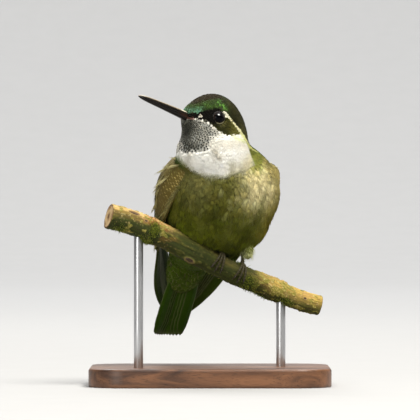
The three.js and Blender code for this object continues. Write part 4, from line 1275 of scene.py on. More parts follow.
for side, name in SIDES:
    rng = np.random.default_rng(41 if side > 0 else 42)
    # The arm: the lens itself, bare but for its covering of dusky down.
    s = np.linspace(0.012, 0.56, ARM_RINGS)
    turn = 2 * np.pi * np.arange(ARM_ROUND) / ARM_ROUND * -side
    at, _ = arm_point(side, *np.broadcast_arrays(s[:, None], turn))
    arm = np.concatenate([at.reshape(-1, 3), wing_point(side, np.array([0.004, 0.58]), 0.5, 0.0)])[None]
    flanked = np.append(np.repeat(smooth(-s, -0.34, -0.2), ARM_ROUND), [1, 0]) * (side > 0)
    bare = np.append(np.repeat(smooth(s, 0.38, 0.48), ARM_ROUND), [0, 1])  # past the coverts
    down = over(to_linear((92, 80, 38)), to_linear((140, 128, 76)), flanked)
    down = over(down, to_linear((56, 64, 24)), bare)
    shells = [shell(arm, ARM_RINGS, ARM_ROUND, size=(0.3, 0.3),
                    tint=down, vane=(0.3, 0.5, 0.5), traits=(0, 0, 0))]
    # Primaries and, over them, secondaries, whose bases take the coverts' brown.
    for kind in ("primaries", "secondaries"):
        long_ones = kind == "primaries"
        n = WING[kind]
        share = np.arange(n) / (n - 1)
        t = np.linspace(0, 1, FLIGHT_RINGS)[None]
        if long_ones:
            start, end, q = 0.26, mix(1.0, 0.79, share**0.8), mix(0.15, 0.93, share)
            width, lift, tone, base = 2.5, 0.13 * (np.arange(n) - 5), (46, 62, 12), None
        else:
            start, end, q = 0.16, mix(0.60, 0.50, share), mix(0.52, 0.93, share)
            width, lift, tone, base = 2.0, 0.45 + 0.08 * np.arange(n), (56, 54, 26), (122, 110, 64)
        s = start + (end[:, None] - start) * t
        path = wing_point(side, s, q[:, None], lift[:, None])
        outer = wing_point(side, s, 0.05, 0.0) - wing_point(side, s, 0.95, 0.0)
        half = width * mix(1, 0.55, t) * np.sqrt(np.clip(1 - t**9, 0, 1)) * smooth(t, -0.25, 0.12)
        half = half * np.ones((n, 1))
        half[:, 0] *= 0.5
        outer_share = mix(0.55, 0.95, share)
        chance = rng.random(n)
        points, vane = flight_feathers(path, outer * side, half, outer_share if side > 0 else 2 - outer_share,
                                       0.16, 0.10 * np.ones(n), chance)
        colour = np.array(tone) * rng.uniform(0.9, 1.12, (n, 1))
        corner = np.stack([0.32 + 0.065 * np.arange(n), np.full(n, 0.0 if long_ones else 0.5)], 1)
        traits = np.tile((0.15, 0.0, 0.15), (n, 1))
        shells.append(flight_shell(points, vane, colour, traits, corner, (0.06, 0.48), base))
    # Coverts: rows of small feathers from the wrist down, on the outer side and round the leading edge.
    n = COVERTS
    a, b = even_pairs(n)
    s0 = 0.015 + 0.445 * a**1.15
    turn0 = mix(-0.9, 2.95, b)
    size = mix(1.25, 2.4, s0 / ARM) * rng.uniform(0.9, 1.1, n)
    sizes = size * 2.9, size * 1.5, 0.40 + 0.2 * smooth(s0, 0.1, 0.3)
    chord = np.linalg.norm(wing_point(side, s0, 0.0, 0.0) - wing_point(side, s0, 1.0, 0.0), axis=1)
    metric = np.sqrt((chord / 2 * np.sin(turn0)) ** 2 + 0.9**2)
    chance = rng.random(n)

    def on_arm(x, y, height):
        """Points x along and y across a covert, laid on the arm's lens."""
        turn = turn0[:, None] - side * y / metric[:, None] + 0.10 * (chance[:, None] - 0.5) * x / size[:, None]
        at, out = arm_point(side, s0[:, None] + x / WING_LENGTH, turn)
        return at + out * height[..., None]

    points, vane = vanes(on_arm, *sizes, np.full(n, 0.07), rng.uniform(0.2, 0.9, n), chance)
    # Brown at the leading edge, green behind it, dusky low down; the inner side is olive.
    greened = smooth(turn0, 0.9, 1.6) * smooth(-s0, -0.24, -0.12)
    colour = over((152, 136, 78), (88, 100, 36), greened)
    colour = over(colour, (66, 74, 28), smooth(s0, 0.3, 0.43) * mix(0.5, 1.0, smooth(turn0, -0.2, 0.6)))
    colour = over(colour, (88, 88, 46), 0.75 * ((side < 0) * smooth(-turn0, -0.35, 0.25)))
    # The left wrist is tucked under the flank's own feathers and takes their colour.
    buried = (side > 0) * smooth(-s0, -0.36, -0.2) * smooth(-turn0, -2.4, -1.6)
    colour = over(colour, over((150, 137, 82), (112, 102, 44), smooth(s0, 0.08, 0.22)), 0.85 * buried)
    tone = to_linear(colour * rng.uniform(0.82, 1.16, (n, 1)))
    traits = np.stack([0.5 * greened, np.full(n, 0.15), mix(0.4, 0.25, greened)], 1)
    base = mix(0.72, 1.0, smooth(vane[..., :1], 0.25, 0.75))
    corner = np.stack([0.01 + 0.28 * s0 / ARM, 0.35 + 0.6 * (turn0 + 0.9) / 3.9], 1)
    shells.append(shell(points, VANE_RINGS, VANE_ROUND, corner, (0.008, 0.008),
                        tint=tone[:, None] * base, vane=vane, traits=traits[:, None]))
    hair, vane = barbs(on_arm, *sizes, chance, STRANDS, (0.95, 1.35), 33)
    tone = mix(np.repeat(tone, STRANDS, 0), to_linear((138, 132, 88)), 0.4)
    tone = tone * rng.uniform(0.7, 1.7, (n * STRANDS, 1))
    shells.append(shell(hair, HAIR_RINGS, HAIR_ROUND, np.repeat(corner, STRANDS, 0), PATCH,
                        tint=tone[:, None], vane=vane, traits=(0, 0, 0)))
    # Stray pale tips stand off the outer side, each a small bundle of loose barbs. Three longer locks
    # stand clear of the right wing's outline.
    n = 26 if side < 0 else 14
    s1 = np.sort(mix(0.06, ARM - 0.1, rng.random(n)))
    turn1 = rng.uniform(1.4, 2.3, n)
    if side < 0:
        s1[:3], turn1[:3] = (0.17, 0.20, 0.31), (2.2, 1.4, 1.5)
    at, out = arm_point(side, s1, turn1)
    ahead = arm_point(side, s1 + 0.02, turn1)[0]
    at = at + out * 0.3
    free = rng.uniform(0.05, 0.4, n) * mix(1.1, 0.7, smooth(s1, 0.05, 0.3))
    way = unit(ahead - at) + out * free[:, None]
    locks = rng.uniform(4.5, 8.0, n) * (1 if side < 0 else 0.45)
    if side < 0:
        way[:3] = unit(np.array([(-6.0, 2.0, -3.5), (-4.6, 1.5, -4.1), (-2.3, 2.0, -6.3)]))
        locks[:3] = (7.4, 6.6, 7.2)
    hairs = n * STRAY_HAIRS
    root1, way, locks = (np.repeat(a, STRAY_HAIRS, 0) for a in (at, way, locks))
    root1 = root1 + rng.normal(0, 0.12, (hairs, 3))
    way1 = way + rng.normal(0, 0.05, (hairs, 3))
    lean1 = np.repeat(rng.normal(0, 0.08, (n, 3)), STRAY_HAIRS, 0) - 0.6 * (way1 - way)
    long1 = locks * rng.uniform(0.75, 1.0, hairs)
    tint1 = over(to_linear((108, 98, 54)), to_linear((214, 206, 150)), smooth(HAIR_ALONG, 0.2, 0.9))
    corner1 = np.repeat(np.stack([0.01 + 0.28 * s1 / ARM, 0.30 + 0.015 * turn1], 1), STRAY_HAIRS, 0)
    points = plumes(root1, way1, lean1, long1, rng.uniform(0.09, 0.14, hairs))
    shells.append(shell(points, HAIR_RINGS, HAIR_ROUND, corner1, PATCH,
                        tint=tint1, vane=(0.3, 0.6, 0.5), traits=(0, 0, 0)))
    make_piece("wing_feathers_" + name, shells, quill_finish, ("wing_" + name,))


# ---- Tail -----------------------------------------------------------------------------------------
# Ten tail feathers lie nearly closed, the middle pair on top and each next one a little lower. They
# are broad, blunt and dark, bronze green on the back of the middle pair.

TAIL = {"length": 35, "feathers": 10, "root_width": 6.5, "tip_width": 12.8, "feather_width": 3.8}

n = TAIL["feathers"]
fan = np.linspace(-1, 1, n)  # -1 at the bird's right edge, +1 at its left edge
layer = 0.9 * fan**2 - 0.4 * (1 - np.abs(fan))
long_ = TAIL["length"] - 1.4 * fan**2 - 0.6 * (1 - np.abs(fan))
spread = fan * (TAIL["tip_width"] - TAIL["feather_width"]) / 2
start = tail_root + tail_line[1] * (fan * TAIL["root_width"] / 2)[:, None] + tail_line[2] * layer[:, None]
end = tail_root - tail_line[0] * long_[:, None] + tail_line[2] * layer[:, None] + tail_line[1] * spread[:, None]
bend = (start + end) / 2 + tail_line[1] * (fan * 1.2)[:, None]
t = np.linspace(0, 1, FLIGHT_RINGS)[None, :, None]
path = (1 - t) ** 2 * start[:, None] + 2 * t * (1 - t) * bend[:, None] + t**2 * end[:, None]
t = t[..., 0]
half = TAIL["feather_width"] / 2 * mix(0.7, 1.0, smooth(t, 0, 0.6)) * np.sqrt(np.clip(1 - t**14, 0, 1))
half = half * np.ones((n, 1))
across = unit(tail_line[1] + tail_line[2] * 0.12 * fan[:, None])[:, None] * np.ones((1, FLIGHT_RINGS, 1))
rng = np.random.default_rng(51)
chance = rng.random(n)
# Seen from behind the outer web of each half is the one away from the middle.
points, vane = flight_feathers(path, across, half, 1 - 0.3 * fan, 0.15, 0.16 * np.ones(n), chance)
middle_pair = bell(fan, 0, 0.3)[:, None]
colour = mix((40, 66, 6), (54, 82, 18), middle_pair) * rng.uniform(0.92, 1.1, (n, 1))
traits = np.stack([0.35 + 0.2 * middle_pair[:, 0], np.zeros(n), np.full(n, 0.12)], 1)
corner = np.stack([0.02 + 0.096 * np.arange(n), np.full(n, 0.02)], 1)
make_piece("tail_feathers", [flight_shell(points, vane, colour, traits, corner, (0.09, 0.95))],
           quill_finish, ("tail",))


# ---- Feet and thigh tufts -------------------------------------------------------------------------
# Tiny dusky feet, three toes forward and one back, lock round the perch. Horny plates ring the top of
# each toe, the soles are soft pads, and every toe ends in a hooked claw. A cottony tuft hides the shank.

foot_skin = worn_finish("foot_skin", "TexVoronoi", {"Scale": 7000.0}, ((0.0, 1.0), (0.8, 1.25)), (0.4, 0.00005),
                        Roughness=0.5, Specular_IOR_Level=0.15)
claw_horn, look, add = new_finish("claw_horn", Roughness=0.25, Specular_IOR_Level=0.5)
fibre = add("TexNoise", {"Vector": add("TexCoord").outputs["Object"], "Scale": 2500.0, "Detail": 3.0})
look(Base_Color=add("MixRGB", {0: fibre, 1: (*to_linear((16, 13, 11)), 1), 2: (*to_linear((52, 42, 34)), 1)}))

TOES = ((2.1, 2.35), (0.1, 2.5), (-1.9, 2.35), (0.2, -2.1))  # each toe's spread in mm and turn in radians
TOE_RINGS, TOE_ROUND = 78, 18
CLAW_RINGS, CLAW_ROUND = 26, 12
SHANK_RINGS = 40
TUFT_HAIRS = 2200


def plate_groove(run):
    """1 in the grooves between horny plates and 0 on them, where run counts the plates passed."""
    return bell(run % 1, 0.5, 0.13)


def toe_line(name, spread, turn, t, lift):
    """A toe's middle line: from the top of the perch round it by turn, lift off the bark."""
    at, line, side, top = (a[0] for a in perch_frame(FOOT[name]))
    a = np.pi / 2 - turn * t
    off = perch_radius(FOOT[name], a) + lift
    around = side * (off * np.cos(a))[:, None] + top * (off * np.sin(a))[:, None]
    return at + line * (spread * t)[:, None] + around


for side, name in SIDES:
    at, line, front, top = (a[0] for a in perch_frame(FOOT[name]))
    ankle = at + top * (perch_radius(FOOT[name], np.pi / 2) + 1.3)
    angle = 2 * np.pi * np.arange(TOE_ROUND)[None] / TOE_ROUND
    shells, claws = [], []
    for i, (spread, turn) in enumerate(TOES):
        t = np.linspace(-0.02, 0.84, TOE_RINGS)
        path = toe_line(name, spread, turn, t, 0.62 + 0.25 * bell(t, 0, 0.08))
        t = t[:, None]
        outer = np.clip(np.sin(angle) * np.sign(turn), 0, 1) ** 0.5
        sole = np.clip(-np.sin(angle) * np.sign(turn), 0, 1)
        groove = plate_groove(t * 9 / 0.84)
        joint = 0.06 * np.cos(2 * np.pi * t / 0.27)
        r = 0.43 * (1 - 0.14 * t) * np.sqrt(np.clip(1 - ((t - 0.4) / 0.445) ** 14, 0, 1))
        r = r * (1 - 0.15 * groove * outer + joint * (0.5 + sole))
        tone = over(to_linear((52, 48, 30)), to_linear((24, 22, 13)), groove * outer)
        tone = over(tone, to_linear((74, 66, 44)), 0.6 * sole)
        tone = np.concatenate([tone.reshape(-1, 3), tone[0, :1], tone[-1, :1]])
        shells.append(shell(tube(path, line, r, r * 0.95, TOE_ROUND), TOE_RINGS, TOE_ROUND,
                            (0.01 + 0.2 * i, 0.01), (0.18, 0.97), tint=tone))
        t = np.linspace(0, 1, CLAW_RINGS)
        path = toe_line(name, spread, turn, mix(0.76, 1.0, t), 0.60 + 0.34 * np.sin(np.pi * t) - 0.46 * t)
        r = 0.30 * (1 - t) ** 0.75 + 0.015
        claws.append(shell(tube(path, line, r * 0.8, r, CLAW_ROUND), CLAW_RINGS, CLAW_ROUND,
                           (0.01 + 0.25 * i, 0.01), (0.23, 0.97)))
    # The shank and the pad that the toes spring from.
    t = np.linspace(0, 1, SHANK_RINGS)[:, None]
    path = ankle + np.array([0, 0, 1.0]) * (t * 6 - 0.6) - body[2] * (1.8 * t * t)
    groove = plate_groove(t * 8)
    r = (0.44 + 0.30 * bell(t, 0, 0.16)) * np.sqrt(np.clip(1 - ((t - 0.5) / 0.505) ** 20, 0, 1))
    r = r * (1 - 0.12 * groove * np.clip(np.cos(angle - 1.2), 0, 1))
    tone = np.repeat(mix(to_linear((52, 48, 30)), to_linear((26, 22, 14)), groove), TOE_ROUND, 0)
    shells.append(shell(tube(path, line, r, r, TOE_ROUND), SHANK_RINGS, TOE_ROUND, (0.81, 0.01), (0.18, 0.97),
                        tint=np.concatenate([tone, tone[:2]])))
    make_piece("toes_" + name, shells, foot_skin, ("foot_" + name,))
    make_piece("claws_" + name, claws, claw_horn)
    # The tuft: soft hairs all over the thigh, hanging and flaring a little at the hem.
    rng = np.random.default_rng(61 if side > 0 else 62)
    n = TUFT_HAIRS
    t = 0.82 * rng.uniform(0.25, 1.0, n) ** 0.8
    angle = rng.uniform(0, 2 * np.pi, n)
    path, line = thigh_line(side, name, t)
    down = unit(np.diff(thigh_line(side, name, (0.0, 1.0))[0], axis=0))[0]
    across = unit(line - (line @ down) * down)
    out = across * np.cos(angle)[:, None] + np.cross(down, across) * np.sin(angle)[:, None]
    full = 1.6 * np.sqrt(np.sin(np.pi * np.minimum(t, 0.98)))
    inner = rng.random(n) < 0.3  # a third of the hairs fill the corner between leg and belly
    root = path + out * full[:, None] - line * (0.9 * inner)[:, None]
    way = down * 0.9 + out * mix(0.45, 0.3, t)[:, None] + rng.normal(0, 0.3, (n, 3))
    lean = -out * 0.22 + down * 0.2 + rng.normal(0, 0.12, (n, 3))
    length = rng.uniform(0.8, 3.0, n)
    points = plumes(root, way, lean, length, rng.uniform(0.025, 0.05, n))
    white = smooth(t + rng.normal(0, 0.12, n), 0.35, 0.75)
    tone = over(to_linear((116, 122, 58)), to_linear((206, 208, 150)), white * 0.85)
    tone = tone * rng.uniform(0.85, 1.1, (n, 1))
    # Painted shade: the hairs in the corner between leg and belly are made far darker.
    tone = np.where(inner[:, None], 0.35 * tone, tone)
    corner = np.stack([0.02 + 0.95 * angle / 6.2832, 0.02 + 0.95 * t], 1) - 0.0015
    make_piece("tuft_" + name, [shell(points, HAIR_RINGS, HAIR_ROUND, corner, PATCH, tint=tone[:, None],
                                      vane=(0.4, 0.6, 0.5), traits=(0, 0, 0))], coat_finish)


# ---- Perch ----------------------------------------------------------------------------------------
# A sawn length of thin forest branch. The bark is smooth and pale, cracked fine along its length,
# wrinkled at the knots and scarred where twigs fell; crusts of lichen and tufts of moss grow on it.
# Its colour also carries painted light: a lit top, painted shade below it and the bird's painted shadow.

BARK_RINGS, BARK_ROUND, BARK_LENGTH = 430, 176, 76.0
# Twig scars: share of the length, angle from the front up, half length and half width in mm, height.
SCARS = ((0.10, 0.95, 2.0, 0.9, -0.35), (0.155, 0.55, 0.7, 0.5, -0.25), (0.80, 1.35, 0.9, 0.8, 0.75),
         (0.37, -0.9, 1.1, 0.8, 0.6), (0.62, 2.6, 1.2, 0.9, 0.55), (0.91, 0.3, 0.6, 0.5, -0.2))


def bark(s, angle):
    """The bark's height over the plain perch and its display colour, at shares s and angles round it."""
    c, z = np.cos(angle), np.sin(angle)
    x = s * BARK_LENGTH

    def skin_at(along, cross, seed):
        """Noise in patches of a size along and across the branch."""
        return layered_noise(np.stack([x / along, c * 4 / cross, z * 4 / cross], -1), 3, seed)

    patch, streak, fine = skin_at(7.0, 2.6, 5), skin_at(4.5, 0.55, 6), skin_at(1.4, 0.16, 7)
    grit = skin_at(0.30, 0.30, 8)
    crack = bell(streak, 0, 0.055) * smooth(patch, -0.3, 0.5)
    height = 0.10 * patch + 0.05 * streak + 0.025 * fine - 0.14 * crack
    near_knot = sum(bell(s, k, 0.03) for k in PERCH_KNOTS)
    wrinkle = np.sin(2 * np.pi * (x / 0.85 + 0.6 * patch))
    height = height + 0.07 * wrinkle * near_knot
    warts = smooth(skin_at(0.8, 0.8, 9), 0.55, 0.95)
    height = height + 0.14 * warts

    # Painted light and shade: the top is painted lit, more so on the right half, and the underside dark with
    # shade.
    top = smooth(z + 0.2 * c + 0.3 * patch, 0.1, 0.9)
    lit = over((116, 97, 46), (168, 138, 72), smooth(s, 0.64, 0.8))
    colour = over((58, 48, 16), lit, top)

    def lay(new, share):
        nonlocal colour
        colour = over(colour, new, share)

    # Painted shadow: the stretch under the bird is darkened by its shadow, darkest round the feet.
    shady = between(s, 0.22, 0.36, 0.64, 0.70)
    lay((48, 52, 11), 0.9 * shady * top)
    feet_shadow = between(s, 0.46, 0.56, 0.63, 0.68)
    lay((32, 36, 4), 0.55 * feet_shadow * top)
    # A painted highlight lies along the top of the left end, over its own pale tan bark.
    bare = smooth(z, 0.5, 0.85) * smooth(-s, -0.34, -0.24) * smooth(patch, -0.35, 0.25)
    lay((214, 178, 118), 0.7 * bare)
    # Painted shade on the front below the lit top, along the left three fifths, reaching higher from a quarter
    # to two fifths of the way along.
    reach = 0.45 + 0.3 * between(s, 0.16, 0.24, 0.4, 0.5)
    low = smooth(reach - z, 0, 0.5) * smooth(-s, -0.70, -0.62)
    lay((40, 50, 5), 0.8 * low)
    lay((150, 128, 58), 0.6 * smooth(s, 0.66, 0.76) * smooth(c, 0, 0.7))
    tan = smooth(skin_at(5, 3.0, 11), 0.0, 0.6)
    lay((160, 122, 78), 0.45 * (1 - 0.8 * shady) * top * tan)
    rust = smooth(skin_at(4, 2.0, 12), 0.05, 0.5) * between(s, 0.12, 0.2, 0.27, 0.34)
    lay((122, 74, 28), 0.75 * rust)
    # Painted shade on the underside: dark green, partly moss.
    lay((42, 48, 8), 0.85 * smooth(-z - 0.2 * patch, 0.0, 0.7))
    colour = colour * (1 + 0.14 * streak + 0.08 * fine)[..., None]
    lay((58, 44, 30), 0.8 * crack)
    lay((176, 150, 104), 0.6 * warts * (1 - 0.7 * shady))
    # Lichen crusts: thick on the front of the right half, thin spots elsewhere.
    where = 0.55 * bell(s, 0.70, 0.13) * smooth(c + 0.4 * z, -0.5, 0.4)
    where = where + 0.1 * bell(s, 0.2, 0.05)
    crust = smooth(skin_at(1.7, 1.3, 13) + where, 0.42, 0.62)
    height = height + crust * (0.13 + 0.10 * grit)
    lichen = over((104, 100, 34), (156, 140, 78), smooth(grit, -0.2, 0.7))
    lay(lichen, 0.85 * crust * (1 - 0.75 * shady))
    spots = smooth(skin_at(0.9, 0.9, 14), 0.5, 0.75) * smooth(z, -0.6, 0.4)
    lay((176, 166, 120), 0.4 * spots * (1 - shady))
    for at, turn, long_, wide, tall in SCARS:
        swing = (angle - turn + np.pi) % (2 * np.pi) - np.pi
        reach = np.sqrt(((x - at * BARK_LENGTH) / long_) ** 2 + (swing * 4 / wide) ** 2 + 1e-6)
        lip = bell(reach, 1.0, 0.28)
        inside = smooth(-reach, -1.0, -0.75)
        height = height + 0.22 * lip + max(tall, 0) * np.exp(-(reach**2) * 0.8)
        height = height + (tall if tall < 0 else -0.3) * inside
        lay((60, 46, 38), 0.85 * inside)
        lay((188, 158, 112), 0.4 * lip)
    return height, np.clip(colour, 0, 250)


def on_bark(s, angle, height):
    """A place over the perch: its own round, and height over that."""
    at, _, front, top = perch_frame(s)
    r = perch_radius(s, angle) + height
    return at + front * (r * np.cos(angle))[:, None] + top * (r * np.sin(angle))[:, None]


s = np.linspace(0.004, 0.996, BARK_RINGS)[:, None] * np.ones(BARK_ROUND)
angle = -2 * np.pi * np.arange(BARK_ROUND)[None] / BARK_ROUND * np.ones((BARK_RINGS, 1))
height, colour = bark(s, angle)
round_ = on_bark(s.ravel(), angle.ravel(), height.ravel()).reshape(BARK_RINGS, BARK_ROUND, 3)
# The sawn ends: flat faces with a bark rim, growth rings and a dark pith.
PITH = (96, 70, 46)
CUTS = np.array([0.12, 0.3, 0.5, 0.7, 0.84, 0.90, 0.975])  # the rings of an end, as shares of its radius
caps = []
for end, row in ((0.0, 0), (1.0, -1)):
    at, line, front, top = (a[0] for a in perch_frame(end))
    turn = angle[row]
    rim = perch_radius(end, turn) + height[row]
    shares = CUTS if end == 0 else CUTS[::-1]
    saw = 0.03 * noise(np.stack(np.broadcast_arrays(shares[:, None] * 40, turn * 3, 0.0), -1), 3)
    r = rim[None] * shares[:, None]
    face = at + front * (r * np.cos(turn))[..., None] + top * (r * np.sin(turn))[..., None]
    face = face + line * saw[..., None]
    grain = 0.5 + 0.5 * np.sin(r * 6.2832 / 0.62 + noise(face / 1.2, 4))
    wood = over((150, 118, 78), (206, 178, 132), grain)
    wood = over(wood, (92, 66, 44), smooth(shares, 0.86, 0.93)[:, None])
    wood = over(wood, PITH, smooth(-shares, -0.2, -0.1)[:, None])
    caps.append((face, wood, at))
faces, woods, ends = zip(*caps)
points = np.concatenate([faces[0], round_, faces[1]]).reshape(-1, 3)
points = np.concatenate([points, ends])[None]
tone = np.concatenate([woods[0], colour, woods[1]]).reshape(-1, 3)
tone = to_linear(np.concatenate([tone, [PITH, PITH]]))

bark_finish = worn_finish("branch_bark", "TexNoise", {"Scale": 2600.0, "Detail": 5.0, "Roughness": 0.7},
                          ((0.3, 0.7), (0.78, 1.22)), (0.6, 0.00012), Roughness=0.85, Specular_IOR_Level=0.25)
make_piece("branch", [shell(points, BARK_RINGS + 2 * len(CUTS), BARK_ROUND, tint=tone)],
           bark_finish, ("perch",))

# Moss: short leafy shoots in cushions at the knots and under the branch.
rng = np.random.default_rng(71)
# Each cushion: share of the length, angle, how far it spreads each way, and its number of shoots.
cushions = ((0.205, 0.1, 0.022, 0.55, 620), (0.19, -1.2, 0.03, 0.5, 420), (0.64, -0.5, 0.035, 0.6, 420),
            (0.70, -1.9, 0.06, 0.7, 360), (0.45, -2.2, 0.05, 0.5, 260), (0.83, -0.8, 0.03, 0.45, 220),
            (0.06, -1.0, 0.03, 0.5, 240), (0.58, 1.9, 0.03, 0.5, 160))
share = np.concatenate([rng.normal(k[0], k[2] * 0.6, k[4]) for k in cushions])
turn = np.concatenate([rng.normal(k[1], k[3] * 0.6, k[4]) for k in cushions])
inside = (share > 0.01) & (share < 0.99)
share, turn = share[inside], turn[inside]
n = len(share)
lift = bark(share, turn)[0]
root = on_bark(share, turn, lift - 0.15)
out = unit(on_bark(share, turn, lift + 1) - root)
way = out + rng.normal(0, 0.5, (n, 3)) + np.array([0, 0, 0.25])
lean = rng.normal(0, 0.3, (n, 3)) + np.array([0, 0, 0.15])
length = rng.uniform(0.45, 1.15, n)
points = plumes(root, way, lean, length, rng.uniform(0.06, 0.13, n))
moss_tone = mix(to_linear((58, 74, 14)), to_linear((150, 158, 48)), rng.random((n, 1)) ** 1.5)
corner = np.stack([0.01 + 0.97 * share, 0.01 + 0.97 * (turn + 4.5) / 9 % 1], 1)
moss_leaf = worn_finish("moss_leaf", "TexNoise", {"Scale": 3000.0, "Detail": 2.0},
                        ((0.0, 1.0), (0.7, 1.3)), None, Roughness=0.7, Specular_IOR_Level=0.3)
shoots = shell(points, HAIR_RINGS, HAIR_ROUND, corner - 0.0015, PATCH,
               tint=moss_tone[:, None] * mix(0.5, 1.15, HAIR_ALONG[:, None]))
make_piece("branch_moss", [shoots], moss_leaf)


# ---- Stand ----------------------------------------------------------------------------------------
# A walnut board with rounded corners and softened edges, oiled to a low sheen, and two ground steel
# rods let into it that come up into the underside of the branch.

BASE = {"width": 78.0, "depth": 60.0, "height": 6.0, "corner": 12.0, "edge": 0.8}
ROD = {"radius": 1.5, "spacing": 46.0, "sunk": 3.0}


BOARD_ROUND, ROD_ROUND = 144, 64


def board_ring(inset, height):
    """The board's outline at a height, a rounded rectangle drawn in by inset, from +x towards +y."""
    turn = 2 * np.pi * (np.arange(BOARD_ROUND) + 0.5) / BOARD_ROUND
    r = max(BASE["corner"] - inset, 0.5)
    w, d = BASE["width"] / 2 - inset - r, BASE["depth"] / 2 - inset - r
    return np.stack([w * np.sign(np.cos(turn)) + r * np.cos(turn),
                     d * np.sign(np.sin(turn)) + r * np.sin(turn), np.full(BOARD_ROUND, height)], 1)


edge = BASE["edge"]
round_over = np.linspace(0, np.pi / 2, 7)
profile = [(8.0, 0.0), (1.2, 0.0), (0.45, 0.0), (0.13, 0.12), (0.0, 0.45), (0.0, 1.5)]
profile += [(edge * (1 - np.cos(a)), BASE["height"] - edge * (1 - np.sin(a))) for a in round_over]
profile += [(edge + 0.5, BASE["height"]), (8.0, BASE["height"])]
rings = np.array([board_ring(inset, height) for inset, height in profile])
board = np.concatenate([rings.reshape(-1, 3), [(0, 0, 0)], [(0, 0, BASE["height"])]])[None]

walnut, look, add = new_finish("oiled_walnut", Specular_IOR_Level=0.4, Coat_Weight=0.15, Coat_Roughness=0.3)
place = add("TexCoord").outputs["Object"]
# The board's length waves a little, then growth bands and pores are drawn out along it.
stretch = add("Mapping", {"Vector": place, "Scale": (14.0, 60.0, 60.0)})
bend = reckon(add, "MULTIPLY", add("TexNoise", {"Vector": stretch, "Scale": 1.0, "Detail": 2.0}), 0.030)
spread = add("SeparateXYZ", {0: place}).outputs
bent = add("CombineXYZ", {0: spread["X"], 1: reckon(add, "ADD", spread["Y"], bend), 2: spread["Z"]})
drawn = add("Mapping", {"Vector": bent, "Scale": (6.0, 300.0, 260.0)})
bands = add("TexNoise", {"Vector": drawn, "Scale": 1.0, "Detail": 3.0, "Roughness": 0.55})
drawn = add("Mapping", {"Vector": bent, "Scale": (160.0, 3200.0, 3200.0)})
pores = add("TexNoise", {"Vector": drawn, "Scale": 1.0, "Detail": 2.0})
tone = add("ValToRGB", {0: bands})
for stop, at, colour in zip(tone.color_ramp.elements, (0.32, 0.68), ((58, 36, 24), (122, 82, 54))):
    stop.position, stop.color = at, (*to_linear(colour), 1)
pitted = spanned(add, pores, (0.30, 0.45), (0.55, 1.0))
look(Base_Color=scaled(add, tone, pitted), Roughness=spanned(add, pitted, (0.55, 1.0), (0.65, 0.42)),
     Normal=add("Bump", {"Height": pitted, "Strength": 0.3, "Distance": 0.00008}))
make_piece("board", [shell(board, len(profile), BOARD_ROUND)], walnut, ("stand_base",))

steel, look, add = new_finish("ground_steel", Metallic=1.0, Specular_IOR_Level=0.5)
stretch = add("Mapping", {"Vector": add("TexCoord").outputs["Object"], "Scale": (300.0, 300.0, 9000.0)})
ground = add("TexNoise", {"Vector": stretch, "Scale": 1.0, "Detail": 2.0})
look(Base_Color=add("MixRGB", {0: ground, 1: (0.46, 0.47, 0.49, 1), 2: (0.60, 0.61, 0.62, 1)}),
     Roughness=spanned(add, ground, end=(0.24, 0.42)))

perch_middle = perch_frame(np.linspace(0, 1, 600))[0].T
for side, name in SIDES:
    x = side * ROD["spacing"] / 2
    _, y, top = (np.interp(x, perch_middle[0], way) for way in perch_middle)
    low, high = BASE["height"] - ROD["sunk"], top - 0.5
    z = [low, low + 0.01, low + 0.25, *mix(low, high, np.array([0.33, 0.66])), high - 0.25, high - 0.01, high]
    path = np.stack(np.broadcast_arrays(x, y, z), 1)
    r = ROD["radius"] * np.array([0.85, 0.93, 1, 1, 1, 1, 0.93, 0.85])
    rod = shell(tube(path, (1, 0, 0), r, r, ROD_ROUND), len(r), ROD_ROUND)
    make_piece("rod_" + name, [rod], steel, ("stand_rod_" + name,))


# ---- Room and camera ------------------------------------------------------------------------------
# A seamless pale bowl of paper stands round the model, lit by a large soft lamp high on the right, a
# wide fill on the left and a thin light from behind. A long lens looks level across the floor.

room, look, add = new_finish("room_paper", Roughness=0.9, Specular_IOR_Level=0.1)
fleck = add("TexNoise", {"Vector": add("TexCoord").outputs["Object"], "Scale": 60.0, "Detail": 3.0})
pale = spanned(add, fleck, end=(0.40, 0.42))
look(Base_Color=add("CombineColor", {0: pale, 1: pale, 2: pale}))

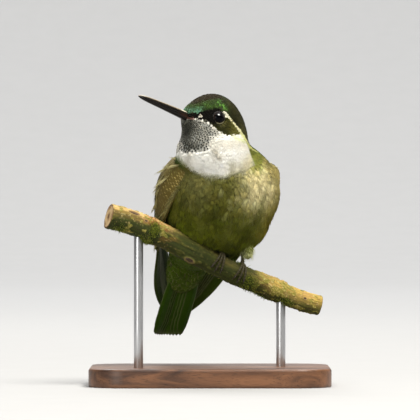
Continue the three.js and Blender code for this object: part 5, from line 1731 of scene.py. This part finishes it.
turn = np.linspace(0, 2 * np.pi, 97)[:-1]
profile = [(r, 0.0) for r in (0.05, 0.1, 0.2, 0.4, 0.8, 1.4, 2.0)]
profile += [(2.0 + 2.0 * np.sin(a), 2.0 - 2.0 * np.cos(a)) for a in np.linspace(0.1, 1.5, 20)]
profile += [(4.0, 3.0), (4.0, 5.0)]
bowl = np.array([[(r * np.cos(t), r * np.sin(t), z) for t in turn] for r, z in profile])
rows, columns = bowl.shape[:2]
j, k = (a.ravel() for a in np.meshgrid(np.arange(rows - 1), np.arange(columns), indexing="ij"))
nxt = (k + 1) % columns
sheet = np.stack([j * columns + k, (j + 1) * columns + k, (j + 1) * columns + nxt, j * columns + nxt], 1)
middle = [(rows * columns, i, (i + 1) % columns) for i in range(columns)]
mesh = bpy.data.meshes.new("room_floor")
mesh.from_pydata(np.concatenate([bowl.reshape(-1, 3), [[0, 0, 0]]]).tolist(), [], sheet.tolist() + middle)
mesh.polygons.foreach_set("use_smooth", np.ones(len(mesh.polygons), bool))
floor = placed("room_floor", mesh, room)

scene = bpy.context.scene
scene.view_settings.view_transform = "Standard"
scene.world = bpy.data.worlds.new("room_light")
scene.world.use_nodes = True
background = scene.world.node_tree.nodes["Background"]
background.inputs["Color"].default_value = (1.0, 0.985, 0.95, 1)
background.inputs["Strength"].default_value = 0.72


def lamp(name, place, size, watts, colour, at=(0, -0.01, 0.07)):
    """A square soft lamp of a size in metres, turned to a place: the bird's breast, unless told."""
    data = bpy.data.lights.new(name, "AREA")
    data.shape, data.size, data.energy, data.color = "SQUARE", size, watts, colour
    one = bpy.data.objects.new(name, data)
    one.location = place
    aim = unit(np.array(at) - place)
    one.rotation_euler = Vector(aim).to_track_quat("-Z", "Y").to_euler()
    scene.collection.objects.link(one)


lamp("key", (0.45, -0.62, 1.15), 0.55, 31.0, (1.0, 0.97, 0.91))
lamp("fill", (-0.55, -1.0, 0.28), 0.5, 4.5, (1.0, 0.98, 0.94))
lamp("rim", (-0.25, 0.7, 0.8), 0.4, 3.0, (1.0, 0.98, 0.93))
lamp("backdrop", (0.0, 1.6, 1.9), 1.6, 60.0, (1.0, 1.0, 1.0), (0.0, 2.3, 0.0))

VIEW = {"distance": 1.5, "height": 0.0568, "span": 0.1355}  # metres: from the bird, over the floor, across
camera_data = bpy.data.cameras.new("camera")
camera_data.sensor_width = 36
camera_data.lens = 36 * VIEW["distance"] / VIEW["span"]
camera = bpy.data.objects.new("camera", camera_data)
camera.location = (0.0, -0.010 - VIEW["distance"], VIEW["height"])
camera.rotation_euler = (np.pi / 2, 0.0, 0.0)
scene.collection.objects.link(camera)
scene.camera = camera
